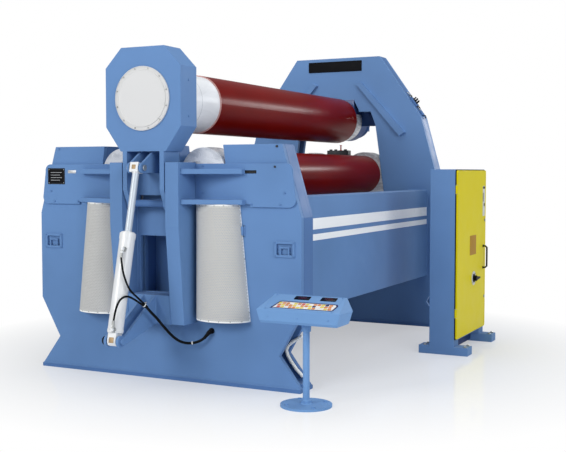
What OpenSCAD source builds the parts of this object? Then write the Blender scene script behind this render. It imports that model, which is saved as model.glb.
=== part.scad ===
// Three-roll plate rolling machine with a hydraulic drop end, an electrical cabinet and a control stand.
// X runs across the machine, +Y along the rolls from the drop end to the drive end, +Z up from the floor.
// The origin is on the floor, on the machine's centre line, at the front face of the drop-end frame.

/* [Rolls] */
// length of the working face of every roll
roll_length = 3040; // [2000:10:4000]
// diameter of the top roll
top_roll_d = 500; // [440:5:520]
// diameter of the two side rolls
side_roll_d = 420; // [340:5:430]
// height of the top roll's axis above the floor
top_axis_z = 2280; // [2270:5:2330]
// distance of each side roll's axis from the centre line, lowered
side_axis_x = 323; // [318:1:345]
// height of the side rolls' axes above the floor, lowered
side_axis_z = 1675; // [1630:5:1685]
// lean of the side rolls' guides towards the centre line, in degrees
guide_lean = 8; // [6:0.5:9]
// distance that each side roll rises along its guide
lift_stroke = 230; // [150:5:230]

/* [End frames] */
// half width of a frame at the floor
foot_half = 1255; // [1150:5:1350]
// half width of a frame over its feet and at the shoulders
body_half = 1260; // [1150:5:1350]
// half width of the waist just above the feet
waist_half = 1070; // [1000:5:1140]
// depth of a frame along the rolls
frame_depth = 210; // [200:5:260]
// thickness of a frame's two flame-cut plates
frame_plate = 45; // [30:1:50]
// height of the drop-end frame
near_top_z = 1917; // [1900:1:1960]
// height of the drive-end yoke
yoke_top_z = 2990; // [2800:10:3200]
// height of the side beams
beam_height = 939; // [700:1:1000]

/* [Drop end] */
// width of the tilting bearing head
head_width = 708; // [640:4:760]
// thickness of the head along the rolls
head_depth = 233; // [200:1:260]
// thickness of each guide post across the machine
post_width = 122; // [90:1:140]
// height of the head's tilt axis above the floor
tilt_axis_z = 1450; // [1420:5:1470]
// outside diameter of the tilt cylinder's barrel
tilt_barrel_d = 120; // [100:2:124]

/* [Cabinet and control stand] */
// width of the cabinet along the rolls
cabinet_width = 1018; // [700:2:1200]
// depth of the cabinet across the machine
cabinet_depth = 237; // [200:1:400]
// overall height of the cabinet
cabinet_height = 1727; // [1400:1:2000]
// width of the control console
console_width = 660; // [500:10:800]
// height of the control console's highest edge
console_top_z = 800; // [700:1:1100]

/* [Part to build] */
// name of the one node to build, or all

/* [Hidden] */

$fn = 64;

// colours
blue = [0.42, 0.55, 0.73];
deep_blue = [0.33, 0.46, 0.66];
roll_red = [0.45, 0.08, 0.05];
steel = [0.78, 0.79, 0.8];
white = [0.87, 0.87, 0.86];
cream = [0.75, 0.75, 0.72];
yellow = [0.84, 0.8, 0.23];
black = [0.05, 0.05, 0.06];

// gaps: between pieces that move past each other, and round a shaft in its bearing
move_gap = 5;
run_gap = 0.3;

// frame profile heights
waist_z = 275;
body_z = 610;
shoulder_z = 1352;
near_top_half = 1093;
yoke_bend_z = 2305;
yoke_bend_half = 995;
yoke_top_half = 507;
base_plate = 30;
band = 35;
base_margin = 10;
anchor_hole_r = 18;
anchor_inset = 105;
web_x = 175;
web_plate = 25;
web_cap_z = 1260;
shelf_plate = 40;
spine_half = 60;

// places along the rolls
roll_start_y = 533;
roll_end_y = roll_start_y + roll_length;
yoke_y = roll_end_y + 20;
yoke_back_y = yoke_y + frame_depth;
near_mid_y = frame_depth / 2;
yoke_mid_y = yoke_y + near_mid_y;

// side rolls' guides, measured across the guide from the roll's axis
near_slot_in = 158;
near_slot_out = 281;
far_slot_out = 216;
block_drop = 225;
slot_drop = block_drop + 15;
block_rise = lift_stroke + 420;
journal_r = 110;
collar_r = 150;
dome_near = [68, 8, 205];
dome_far = [0, 0, 250];
flange_r = 230;
flange_wall = 14;
flange_length = 105;
neck_r = 152;
guide_liner = 30;
liner_tie = 130;
top_bearing_r = 218;
lift_barrel_r = 95;
lift_rod_r = 50;
lift_barrel_top = slot_drop + 10;
lift_barrel_length = 440;
lift_window = lift_barrel_r + 10;
lift_rod_in = lift_stroke + 60;
top_spigot_r = 90;
side_spigot_r = 70;
drive_reach = 60;
top_hub_r = 215;
top_drive_length = 560;
top_flange = [800, 250, 30];
top_flange_low = 197;
side_hub_r = 170;
side_drive_length = 490;
side_neck_r = journal_r + 28;
journal_room = 4;

// drop end
head_front_y = -269;
head_back_y = head_front_y + head_depth;
head_top_z = 2686;
head_top_half = 202;
head_chamfer_z = 2528;
head_side_z = 2060;
head_bottom_z = 1865;
head_bottom_half = 213;
cap_r = 253;
cap_proud = 14;
cap_boss = 4;
cap_boss_r = 224;
cone_r = 150;
cone_tip_r = 110;
cone_length = 150;
post_inner_x = 204;
post_top_z = 1778;
post_bottom_z = 490;
post_bend_z = 1275;
post_bottom_front_y = -192;
arm_half = post_inner_x - 9;
arm_cheek = 40;
arm_back_y = -60;
tilt_axis_y = -165;
tilt_shaft_r = 30;
tilt_boss_r = 58;
shaft_inset = 30;

// tilt cylinder, from its pin on the bracket to its pin on the arm
pin_low = [-671, 416];
pin_high = [-359, 1734];
tilt_span = norm(pin_high - pin_low);
tilt_lean = atan2(pin_high[0] - pin_low[0], pin_high[1] - pin_low[1]);
tilt_barrel_length = 833;
barrel_foot = 62;
barrel_collar = 45;
barrel_collar_proud = 3;
barrel_bore = 80;
eye_block = 70;
rod_start = 335;
rod_tuck = 30;
tilt_rod_r = 27;
pin_low_r = 20;
pin_high_r = 16;
eye_hole_r = 33;
eye_half = 38;
clevis_gap_half = 46;
clevis_plate = 20;
port_low_s = 115;
port_high_s = 668;
port_x = 24;
port_out = 80;
port_r = 13;
port_turn = 32;

// rails, covers and guards beside the posts
cover_plate = 20;
cover_bottom_z = 1428;
cover_top_z = 1768;
cover_low_corner = [1160, 60];
cover_high_corner = [1138, 54];
rail_end_x = 781;
rail_end_y = -70;
rail_post_y = -240;
rail_plate = 38;
rail_low_z = 1449;
rail_high_z = 1686;
guard_sheet = 6;
guard_inner_x = 345;
guard_top_half = 190;
guard_top_deep = 140;
guard_low_half = 236;
guard_low_deep = 170;
guard_low_z = 527;
guard_outer_x = guard_inner_x + 2 * guard_low_half + 10;

// window between the posts and the lifting pockets
window_half = 170;
window_low_z = 719;
window_high_z = 1185;
pocket_x = 1118;
pocket_z = 1107;
pocket_width = 136;
pocket_height = 84;
pocket_rim = 20;
pocket_proud = 12;
pocket_deep = 25;
bail_half = 42;
bail_bar = 12;

// side beams
beam_face_x = 1071;
beam_bottom_z = 564;
beam_plate = 40;
beam_flange = 220;
beam_foot = 140;
beam_rib = 25;
beam_ribs = 4;

// yoke opening
web_top_z = 1880;
opening_half = 514;
sill_x = 528;
sill_end = 1100;
notch_half = 204;
notch_top_z = 2516;
opening_shoulder_z = 2380;
brace_proud = 40;

// cabinet
cabinet_x = 1608;
cabinet_y = 2057;
cabinet_front_x = cabinet_x + cabinet_depth;
foot_z = 77;
cabinet_foot = 150;
cabinet_foot_reach = 132;
sheet = 15;
door_low_z = 146;
door_margin = 14;
door_plate = 20;
door_gap = 0.5;
hinge_r = 9;
hinge_out = 12;
hinge_in = 9;
door_corner_r = 22;
handle_inset = 105;
handle_low_z = 738;
handle_high_z = 968;
handle_out = 48;
handle_bar = 14;
isolator_y = 580;
isolator_z = 668;

// control stand
stand_x = 1457;
stand_y = -332;
disc_r = 190;
disc_plate = 18;
pole_r = 25;
console_low_z = 612;
console_front = -153;
console_back = 82;

// draws a shape of the X-Z plane and gives it a thickness along Y, from y0 on
module upright(y0, thickness) {
    translate([0, y0 + thickness, 0])
        rotate([90, 0, 0])
            linear_extrude(thickness)
                children();
}

// draws a shape of the Y-Z plane and gives it a thickness along X, from x0 on
module sideways(x0, thickness) {
    translate([x0, 0, 0])
        rotate([90, 0, 90])
            linear_extrude(thickness)
                children();
}

// turns a shape of revolution so that its axis lies along Y, at the given place
module along_y(x, z) {
    translate([x, 0, z])
        rotate([-90, 0, 0])
            children();
}

// side = 1 keeps a shape on the right, side = -1 mirrors it to the left
module on_side(side) {
    flip = side > 0 ? 0 : 1;
    mirror([flip, 0, 0])
        children();
}

// closed outline from the points of its right half
function mirrored(points) =
    concat(points, [for (i = [len(points) - 1 : -1 : 0]) [-points[i][0], points[i][1]]]);

// 2D copies on both sides of the centre line
module both_sides() {
    children();
    mirror([1, 0])
        children();
}

// 2D frame of a side roll's guide: origin on the lowered axis, y along the guide
module guide_frame() {
    translate([side_axis_x, side_axis_z])
        rotate(guide_lean)
            children();
}

// 3D frame of the same guide: z along the guide, on the right
module guide_space(y) {
    translate([side_axis_x, y, side_axis_z])
        rotate([0, -guide_lean, 0])
            children();
}

// 3D frame of the tilt cylinder: origin on its lower pin, z along the cylinder
module tilt_space() {
    translate([0, pin_low[0], pin_low[1]])
        rotate([-tilt_lean, 0, 0])
            children();
}

module near_profile() {
    polygon(mirrored([
        [foot_half, base_plate], [waist_half, waist_z], [body_half, body_z], [body_half, shoulder_z],
        [near_top_half, near_top_z]
    ]));
}

module yoke_profile() {
    polygon(mirrored([
        [foot_half, base_plate], [waist_half, waist_z], [body_half, body_z], [body_half, shoulder_z],
        [yoke_bend_half, yoke_bend_z], [yoke_top_half, yoke_top_z]
    ]));
}

// slot for one bearing block with the window for its lift cylinder below
module guide_slot(outer) {
    guide_frame()
        union() {
            translate([-near_slot_in, -slot_drop])
                square([near_slot_in + outer, slot_drop + block_rise]);
            translate([-lift_window, -lift_barrel_top - lift_barrel_length - 1])
                square([2 * lift_window, lift_barrel_length + 20]);
        }
}

module yoke_opening() {
    polygon(mirrored([
        [opening_half, web_top_z], [464, 2229], [405, opening_shoulder_z], [263, opening_shoulder_z], [263, 2400],
        [notch_half, notch_top_z]
    ]));
    both_sides()
        intersection() {
            guide_slot(far_slot_out);
            square([700, web_top_z + 60]);
        }
}

module near_plate(y0) {
    upright(y0, frame_plate)
        difference() {
            near_profile();
            both_sides()
                guide_slot(near_slot_out);
        }
}

// base, webs, spine, cylinder shelves and pads, the same in both frames up to the spine's top
module core_profile(top_z) {
    pad = 110;
    shelf_z = side_axis_z - (lift_barrel_top + lift_barrel_length) * cos(guide_lean) - 90;
    translate([-foot_half, base_plate])
        square([2 * foot_half, band]);
    both_sides()
        union() {
            translate([web_x, base_plate])
                square([web_plate, web_cap_z - base_plate]);
            translate([web_x, shelf_z])
                square([body_half - web_x, shelf_plate]);
            intersection() {
                guide_frame()
                    translate([-lift_window, -lift_barrel_top - lift_barrel_length - pad])
                        square([2 * lift_window, pad]);
                translate([0, shelf_z])
                    square([body_half, 2 * pad]);
            }
        }
    translate([-web_x - web_plate, web_cap_z - band])
        square([2 * (web_x + web_plate), band]);
    translate([-spine_half, web_cap_z - 1])
        square([2 * spine_half, top_z - web_cap_z + 1]);
    translate([-liner_tie, top_z - band])
        square([2 * liner_tie, band]);
}

// strips that line both edges of the side rolls' guides, up to the given height
module guide_liners(outer, top_z) {
    both_sides()
        intersection() {
            guide_frame()
                for (x = [-near_slot_in - guide_liner, outer])
                    translate([x, -slot_drop])
                        square([guide_liner, slot_drop + block_rise]);
            square([body_half, top_z]);
        }
}

// holes for the anchor bolts through the base plate and the band on it
module anchor_holes(mid_y) {
    for (side = [1, -1])
        translate([side * (foot_half - anchor_inset), mid_y, -1])
            cylinder(h = base_plate + band + 2, r = anchor_hole_r);
}

module near_frame_core() {
    gap = frame_depth - 2 * frame_plate;
    color(deep_blue)
        difference() {
            union() {
                translate([-foot_half, -base_margin, 0])
                    cube([2 * foot_half, frame_depth + 2 * base_margin, base_plate]);
                upright(frame_plate, gap)
                    union() {
                        core_profile(near_top_z);
                        guide_liners(near_slot_out, near_top_z);
                        both_sides()
                            polygon([
                                [body_half, body_z], [body_half, shoulder_z], [near_top_half, near_top_z],
                                [590, near_top_z], [590, near_top_z - band],
                                [near_top_half - 40, near_top_z - band], [body_half - band, shoulder_z],
                                [body_half - band, body_z]
                            ]);
                    }
            }
            anchor_holes(near_mid_y);
        }
}

module yoke_core() {
    gap = frame_depth - 2 * frame_plate;
    color(deep_blue)
        difference() {
            union() {
                translate([-foot_half, yoke_y - base_margin, 0])
                    cube([2 * foot_half, frame_depth + 2 * base_margin, base_plate]);
                upright(yoke_y + frame_plate, gap)
                    union() {
                        core_profile(web_top_z);
                        guide_liners(far_slot_out, web_top_z);
                        both_sides()
                            translate([sill_x, web_top_z - band])
                                square([sill_end - sill_x, band]);
                        difference() {
                            polygon(mirrored([
                                [body_half, body_z], [body_half, shoulder_z],
                                [yoke_bend_half, yoke_bend_z], [yoke_top_half, yoke_top_z]
                            ]));
                            polygon(mirrored([
                                [body_half - band, body_z - 1], [body_half - band, shoulder_z],
                                [yoke_bend_half - 37, yoke_bend_z - 10],
                                [yoke_top_half - 18, yoke_top_z - band]
                            ]));
                        }
                    }
            }
            anchor_holes(yoke_mid_y);
        }
}

// front plate with the window between the posts and a framed lifting pocket on each side
module near_front_plate() {
    rim_width = pocket_width + 2 * pocket_rim;
    rim_height = pocket_height + 2 * pocket_rim;
    color(blue)
        union() {
            difference() {
                near_plate(0);
                upright(-1, frame_plate + 2)
                    translate([-window_half, window_low_z])
                        square([2 * window_half, window_high_z - window_low_z]);
                upright(-1, pocket_deep + 1)
                    both_sides()
                        translate([pocket_x, pocket_z])
                            square([pocket_width, pocket_height], center = true);
            }
            upright(-pocket_proud, pocket_proud + 1)
                both_sides()
                    translate([pocket_x, pocket_z])
                        difference() {
                            square([rim_width, rim_height], center = true);
                            square([pocket_width, pocket_height], center = true);
                        }
            upright(-pocket_proud, bail_bar)
                both_sides()
                    translate([pocket_x, pocket_z - pocket_height / 2])
                        difference() {
                            translate([-bail_half, -1])
                                square([2 * bail_half, pocket_height * 0.75]);
                            translate([bail_bar - bail_half, -2])
                                square([2 * (bail_half - bail_bar), pocket_height * 0.75 - bail_bar]);
                        }
        }
}

module near_rear_plate() {
    color(blue)
        near_plate(frame_depth - frame_plate);
}

module yoke_plate(y0) {
    upright(y0, frame_plate)
        difference() {
            yoke_profile();
            yoke_opening();
        }
}

module yoke_inner_plate() {
    color(blue)
        union() {
            yoke_plate(yoke_y);
            upright(yoke_y - brace_proud, brace_proud + 1)
                both_sides()
                    polygon([[245, 2686], [293, 2713], [818, 2139], [755, 2101]]);
        }
}

module yoke_outer_plate() {
    color(blue)
        yoke_plate(yoke_back_y - frame_plate);
}

// bolted cover beside a post with the two shelf rails that stand out of it
module bearing_cover(side) {
    color(blue)
        on_side(side)
            union() {
                upright(-cover_plate, cover_plate)
                    union() {
                        polygon([
                            [post_inner_x + post_width, rail_low_z], [guard_outer_x, rail_low_z],
                            [guard_outer_x, cover_bottom_z], [cover_low_corner[0], cover_bottom_z],
                            [1219, 1490], [1190, 1715], [cover_high_corner[0], cover_top_z],
                            [post_inner_x + post_width, cover_top_z]
                        ]);
                        translate([cover_low_corner[0], cover_bottom_z + cover_low_corner[1]])
                            circle(cover_low_corner[1]);
                        translate([cover_high_corner[0], cover_top_z - cover_high_corner[1]])
                            circle(cover_high_corner[1]);
                    }
                for (z = [rail_low_z, rail_high_z])
                    translate([0, 0, z])
                        linear_extrude(rail_plate)
                            polygon([
                                [post_inner_x + post_width, 0], [post_inner_x + post_width, rail_post_y],
                                [rail_end_x, rail_end_y], [rail_end_x, 0]
                            ]);
            }
}

module bearing_cover_left() {
    bearing_cover(-1);
}

module bearing_cover_right() {
    bearing_cover(1);
}

module guide_post(side) {
    color(blue)
        on_side(side)
            difference() {
                sideways(post_inner_x, post_width)
                    polygon([
                        [0, post_bottom_z], [0, post_top_z], [head_front_y, post_top_z],
                        [head_front_y, post_bend_z], [post_bottom_front_y, post_bottom_z]
                    ]);
                translate([0, tilt_axis_y, tilt_axis_z])
                    rotate([0, 90, 0])
                        cylinder(h = post_inner_x + post_width - shaft_inset, r = tilt_shaft_r + run_gap);
            }
}

module guide_post_left() {
    guide_post(-1);
}

module guide_post_right() {
    guide_post(1);
}

module tilt_shaft() {
    reach = post_inner_x + post_width - shaft_inset - run_gap;
    color(steel)
        translate([-reach, tilt_axis_y, tilt_axis_z])
            rotate([0, 90, 0])
                cylinder(h = 2 * reach, r = tilt_shaft_r);
}

// web between the posts, with its window, the lower box and the bracket of the tilt cylinder
module post_web() {
    box_top = window_low_z;
    box_bottom = post_bottom_z;
    box_front = -200;
    plate = 25;
    color(blue)
        union() {
            upright(-60, plate)
                difference() {
                    translate([-post_inner_x, box_bottom])
                        square([2 * post_inner_x, 1414 - box_bottom]);
                    translate([-window_half, box_top])
                        square([2 * window_half, window_high_z - box_top]);
                }
            translate([-post_inner_x, box_front, box_bottom])
                cube([2 * post_inner_x, plate, box_top - box_bottom]);
            translate([-post_inner_x, box_front, box_top - plate])
                cube([2 * post_inner_x, -box_front, plate]);
            for (x = [clevis_gap_half, -clevis_gap_half - clevis_plate])
                sideways(x, clevis_plate)
                    union() {
                        polygon([
                            [box_front, box_bottom], [pin_low[0], pin_low[1] - 45],
                            [pin_low[0] - 31, pin_low[1] + 33], [pin_low[0] + 40, pin_low[1] + 25],
                            [box_front, box_top]
                        ]);
                        translate(pin_low)
                            circle(45);
                    }
            translate([-clevis_gap_half - clevis_plate - 12, pin_low[0], pin_low[1]])
                rotate([0, 90, 0])
                    cylinder(h = 2 * (clevis_gap_half + clevis_plate + 12), r = pin_low_r);
        }
}

// half-round guard sheet, narrower at its top
module guard(side) {
    steps = 20;
    angles = [for (i = [0 : steps]) 180 * i / steps];
    function arc(half, deep, z, grow) = [
        for (a = angles)
            [guard_inner_x + half - (half + grow) * cos(a), -(deep + grow) * sin(a), z]
    ];
    low_out = arc(guard_low_half, guard_low_deep, guard_low_z, 0);
    low_in = arc(guard_low_half, guard_low_deep, guard_low_z, -guard_sheet);
    top_out = arc(guard_top_half, guard_top_deep, rail_low_z, 0);
    top_in = arc(guard_top_half, guard_top_deep, rail_low_z, -guard_sheet);
    n = steps + 1;
    strips = [
        for (i = [0 : steps - 1])
            each [
                [i, i + 1, n + i + 1, n + i],
                [2 * n + i + 1, 2 * n + i, 3 * n + i, 3 * n + i + 1],
                [n + i, n + i + 1, 3 * n + i + 1, 3 * n + i],
                [i + 1, i, 2 * n + i, 2 * n + i + 1]
            ]
    ];
    ends = [[0, n, 3 * n, 2 * n], [steps, 2 * n + steps, 3 * n + steps, n + steps]];
    color(cream)
        on_side(side)
            polyhedron(concat(low_out, top_out, low_in, top_in), concat(strips, ends), convexity = 4);
}

module guard_left() {
    guard(-1);
}

module guard_right() {
    guard(1);
}

module side_beam(side) {
    length = yoke_y - frame_depth;
    color(blue)
        on_side(side)
            translate([0, frame_depth, 0])
                union() {
                    translate([beam_face_x - beam_plate, 0, beam_bottom_z])
                        cube([beam_plate, length, beam_height]);
                    translate([beam_face_x - beam_flange, 0, beam_bottom_z + beam_height - beam_plate])
                        cube([beam_flange, length, beam_plate]);
                    translate([beam_face_x - beam_foot, 0, beam_bottom_z])
                        cube([beam_foot, length, beam_plate]);
                    for (i = [1 : beam_ribs])
                        translate([beam_face_x - beam_foot, i * length / (beam_ribs + 1), beam_bottom_z])
                            cube([beam_foot, beam_rib, beam_height]);
                }
}

module side_beam_left() {
    side_beam(-1);
}

module side_beam_right() {
    side_beam(1);
}

// housing of the top roll's far journal, held in the yoke's notch
module top_bearing() {
    color(steel)
        upright(yoke_y, frame_depth)
            difference() {
                union() {
                    translate([0, top_axis_z])
                        circle(top_bearing_r);
                    translate([-notch_half, top_axis_z])
                        square([2 * notch_half, notch_top_z - top_axis_z]);
                }
                translate([0, top_axis_z])
                    circle(collar_r + run_gap);
            }
}

module lift_barrel(side, mid_y) {
    color(white)
        on_side(side)
            guide_space(mid_y)
                translate([0, 0, -lift_barrel_top - lift_barrel_length])
                    difference() {
                        cylinder(h = lift_barrel_length, r = lift_barrel_r);
                        translate([0, 0, lift_barrel_length - lift_rod_in - 50])
                            cylinder(h = lift_rod_in + 51, r = lift_rod_r + run_gap);
                    }
}

module lift_barrel_near_left() {
    lift_barrel(-1, near_mid_y);
}

module lift_barrel_near_right() {
    lift_barrel(1, near_mid_y);
}

module lift_barrel_far_left() {
    lift_barrel(-1, yoke_mid_y);
}

module lift_barrel_far_right() {
    lift_barrel(1, yoke_mid_y);
}

// bearing block of a side roll without its bore: a square foot, a dome given as [x, z, radius],
// and the lift rod below
module block_body(dome, outer) {
    half = near_mid_y - move_gap;
    upright(-half, 2 * half)
        intersection() {
            union() {
                translate([dome[0], dome[1]])
                    circle(dome[2]);
                translate([-near_slot_in, -block_drop])
                    square([near_slot_in + outer - move_gap, block_drop]);
            }
            translate([move_gap - near_slot_in, -block_drop])
                square([near_slot_in + outer - 2 * move_gap, block_drop + dome[1] + dome[2] + 1]);
        }
    translate([0, 0, -block_drop - lift_rod_in])
        cylinder(h = lift_rod_in + 5, r = lift_rod_r);
}

// the near blocks carry a bearing flange on the inner side of the frame, joined through the guide
module near_block(side) {
    inner_y = near_mid_y + move_gap;
    color(steel)
        on_side(side)
            guide_space(near_mid_y)
                difference() {
                    union() {
                        block_body(dome_near, near_slot_out);
                        rotate([-90, 0, 0])
                            cylinder(h = inner_y + 1, r = neck_r);
                        translate([0, inner_y, 0])
                            rotate([-90, 0, 0])
                                cylinder(h = flange_length, r = flange_r);
                    }
                    translate([0, -near_mid_y, 0])
                        rotate([-90, 0, 0])
                            cylinder(h = frame_depth + flange_length + 1, r = journal_r + run_gap);
                    translate([0, inner_y + flange_wall, 0])
                        rotate([-90, 0, 0])
                            cylinder(h = flange_length, r = collar_r + run_gap);
                }
}

module far_block(side) {
    color(steel)
        on_side(side)
            guide_space(yoke_mid_y)
                difference() {
                    block_body(dome_far, far_slot_out);
                    translate([0, -near_mid_y, 0])
                        rotate([-90, 0, 0])
                            cylinder(h = frame_depth, r = journal_r + run_gap);
                }
}

module block_near_left() {
    near_block(-1);
}

module block_near_right() {
    near_block(1);
}

module block_far_left() {
    far_block(-1);
}

module block_far_right() {
    far_block(1);
}

module top_roll() {
    r = top_roll_d / 2;
    collar = r - 10;
    collar_y = head_back_y + 8;
    tip_y = head_back_y - cone_length;
    drive_y = yoke_back_y + drive_reach;
    color(roll_red)
        along_y(0, top_axis_z)
            rotate_extrude()
                polygon([
                    [0, tip_y], [cone_tip_r, tip_y], [cone_r, head_back_y], [cone_r, collar_y],
                    [collar, collar_y], [collar, roll_start_y], [r, roll_start_y], [r, roll_end_y],
                    [collar_r, roll_end_y], [collar_r, yoke_back_y + 10],
                    [top_spigot_r, yoke_back_y + 10], [top_spigot_r, drive_y], [0, drive_y]
                ]);
}

module side_roll(side) {
    r = side_roll_d / 2;
    near_y = move_gap + 10;
    collar_y = frame_depth + 2 * move_gap + flange_wall;
    drive_y = yoke_back_y + drive_reach;
    color(roll_red)
        on_side(side)
            along_y(side_axis_x, side_axis_z)
                rotate_extrude()
                    polygon([
                        [0, near_y], [journal_r, near_y], [journal_r, collar_y],
                        [collar_r, collar_y], [collar_r, roll_start_y], [r, roll_start_y],
                        [r, roll_end_y], [collar_r, roll_end_y], [collar_r, yoke_y - 6],
                        [journal_r, yoke_y - 6], [journal_r, yoke_back_y + 4],
                        [side_spigot_r, yoke_back_y + 4], [side_spigot_r, drive_y], [0, drive_y]
                    ]);
}

module side_roll_left() {
    side_roll(-1);
}

module side_roll_right() {
    side_roll(1);
}

// gearbox and hydraulic motor on the end of a roll: a hub, two steps and the motor's square block
module drive_unit(y0, hub_r, length) {
    translate([0, 0, y0])
        cylinder(h = length * 0.3, r = hub_r);
    translate([0, 0, y0 + length * 0.3])
        cylinder(h = length * 0.35, r = hub_r * 0.82);
    translate([0, 0, y0 + length * 0.65])
        cylinder(h = length * 0.12, r = hub_r * 0.6);
    translate([-hub_r * 0.42, -hub_r * 0.42, y0 + length * 0.77])
        cube([hub_r * 0.84, hub_r * 0.84, length * 0.23]);
}

module top_drive() {
    color(deep_blue)
        along_y(0, top_axis_z)
            difference() {
                union() {
                    drive_unit(yoke_back_y, top_hub_r, top_drive_length);
                    translate([-top_flange[0] / 2, -top_flange_low, yoke_back_y])
                        cube(top_flange);
                }
                translate([0, 0, yoke_back_y - 1])
                    cylinder(h = 21, r = collar_r + 5);
                translate([0, 0, yoke_back_y - 1])
                    cylinder(h = drive_reach + 6, r = top_spigot_r + run_gap);
            }
}

// the drive of a side roll is bolted to its far block by a neck that reaches into the guide
module side_drive(side) {
    block_y = yoke_back_y - move_gap;
    color(deep_blue)
        on_side(side)
            along_y(side_axis_x, side_axis_z)
                difference() {
                    union() {
                        translate([0, 0, block_y])
                            cylinder(h = 3 * move_gap, r = side_neck_r);
                        drive_unit(block_y + 2 * move_gap, side_hub_r, side_drive_length);
                    }
                    translate([0, 0, block_y - 1])
                        cylinder(h = 3 * move_gap + 1, r = journal_r + journal_room);
                    translate([0, 0, block_y - 1])
                        cylinder(h = drive_reach + move_gap + 6, r = side_spigot_r + run_gap);
                }
}

module side_drive_left() {
    side_drive(-1);
}

module side_drive_right() {
    side_drive(1);
}

// bearing head with its tilting arm and the clevis of the tilt cylinder
module drop_head() {
    cheek_x = arm_half - arm_cheek;
    color(blue)
        difference() {
            union() {
                upright(head_front_y, head_depth)
                    polygon(mirrored([
                        [head_bottom_half, head_bottom_z], [head_width / 2, head_side_z],
                        [head_width / 2, head_chamfer_z], [head_top_half, head_top_z]
                    ]));
                for (x = [cheek_x, -arm_half])
                    sideways(x, arm_cheek)
                        union() {
                            polygon([
                                [head_front_y, head_bottom_z + 5], [arm_back_y, head_bottom_z + 5],
                                [arm_back_y, 1560], [tilt_axis_y + tilt_boss_r, tilt_axis_z],
                                [tilt_axis_y - tilt_boss_r, tilt_axis_z], [head_front_y, 1560]
                            ]);
                            translate([tilt_axis_y, tilt_axis_z])
                                circle(tilt_boss_r);
                        }
                translate([-cheek_x - 1, -110, tilt_axis_z + 65])
                    cube([2 * cheek_x + 2, 40, head_bottom_z - tilt_axis_z - 60]);
                for (x = [clevis_gap_half, -clevis_gap_half - clevis_plate])
                    sideways(x, clevis_plate)
                        union() {
                            polygon([
                                [-109, 1866], [-215, 1866], [pin_high[0], pin_high[1] + 42],
                                [pin_high[0] - 20, pin_high[1] - 37], [-109, 1690]
                            ]);
                            translate(pin_high)
                                circle(42);
                        }
                translate([-clevis_gap_half - clevis_plate - 8, pin_high[0], pin_high[1]])
                    rotate([0, 90, 0])
                        cylinder(h = 2 * (clevis_gap_half + clevis_plate + 8), r = pin_high_r);
            }
            along_y(0, top_axis_z)
                translate([0, 0, head_back_y - cone_length - 10])
                    cylinder(h = 11, r = cone_tip_r + 2);
            along_y(0, top_axis_z)
                rotate_extrude()
                    polygon([
                        [0, head_back_y - cone_length], [cone_tip_r + run_gap, head_back_y - cone_length],
                        [cone_r + run_gap, head_back_y], [cone_r + run_gap, head_back_y + 1],
                        [0, head_back_y + 1]
                    ]);
            translate([-arm_half - 1, tilt_axis_y, tilt_axis_z])
                rotate([0, 90, 0])
                    cylinder(h = 2 * arm_half + 2, r = tilt_shaft_r + run_gap);
        }
}

module head_cap() {
    color(white)
        along_y(0, top_axis_z)
            union() {
                translate([0, 0, head_front_y - cap_proud])
                    cylinder(h = cap_proud, r = cap_r);
                translate([0, 0, head_front_y - cap_proud - cap_boss])
                    cylinder(h = cap_boss + 1, r = cap_boss_r);
            }
}

// elbow on the barrel at s along it; turn = 1 points its mouth up the barrel, -1 down
module barrel_elbow(s, turn) {
    low = turn > 0 ? s - port_turn - port_r : s;
    stub = s - turn * port_turn;
    translate([port_x, -port_out, low])
        cylinder(h = port_turn + port_r, r = port_r);
    translate([port_x, -port_out, stub])
        rotate([-90, 0, 0])
            cylinder(h = port_out - tilt_barrel_d / 2 + 14, r = port_r);
}

module tilt_barrel() {
    r = tilt_barrel_d / 2;
    color(white)
        tilt_space()
            difference() {
                union() {
                    translate([0, 0, barrel_foot])
                        cylinder(h = tilt_barrel_length - barrel_foot, r = r);
                    translate([0, 0, tilt_barrel_length - barrel_collar])
                        cylinder(h = barrel_collar, r = r + barrel_collar_proud);
                    translate([-eye_half, -eye_half, 0])
                        cube([2 * eye_half, 2 * eye_half, eye_block]);
                    translate([-eye_half, 0, 0])
                        rotate([0, 90, 0])
                            cylinder(h = 2 * eye_half, r = eye_half);
                    barrel_elbow(port_low_s, 1);
                    barrel_elbow(port_high_s, -1);
                }
                translate([-eye_half - 1, 0, 0])
                    rotate([0, 90, 0])
                        cylinder(h = 2 * eye_half + 2, r = pin_low_r + run_gap);
                translate([0, 0, barrel_bore])
                    cylinder(h = tilt_barrel_length, r = tilt_rod_r + run_gap);
            }
}

module tilt_rod() {
    color(steel)
        tilt_space()
            difference() {
                union() {
                    translate([0, 0, rod_start])
                        cylinder(h = tilt_span - rod_start - rod_tuck, r = tilt_rod_r);
                    translate([-eye_half, -eye_half, tilt_span - eye_half])
                        cube([2 * eye_half, 2 * eye_half, 2 * eye_half]);
                }
                translate([-eye_half - 1, 0, tilt_span])
                    rotate([0, 90, 0])
                        cylinder(h = 2 * eye_half + 2, r = eye_hole_r);
            }
}

// screwed elbow where the hoses enter the drop-end frame
module hose_gland() {
    color(black)
        union() {
            upright(-gland_seat, gland_seat)
                translate([gland_x, gland_z])
                    circle(gland_r + 9);
            upright(-gland_bend - 5, gland_bend + 5)
                translate([gland_x, gland_z])
                    circle(gland_r);
            translate([gland_x, -gland_bend, gland_z])
                rotate([0, acos(gland_way[2]), atan2(gland_way[1], gland_way[0])])
                    cylinder(h = gland_mouth, r = gland_r);
        }
}

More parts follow.
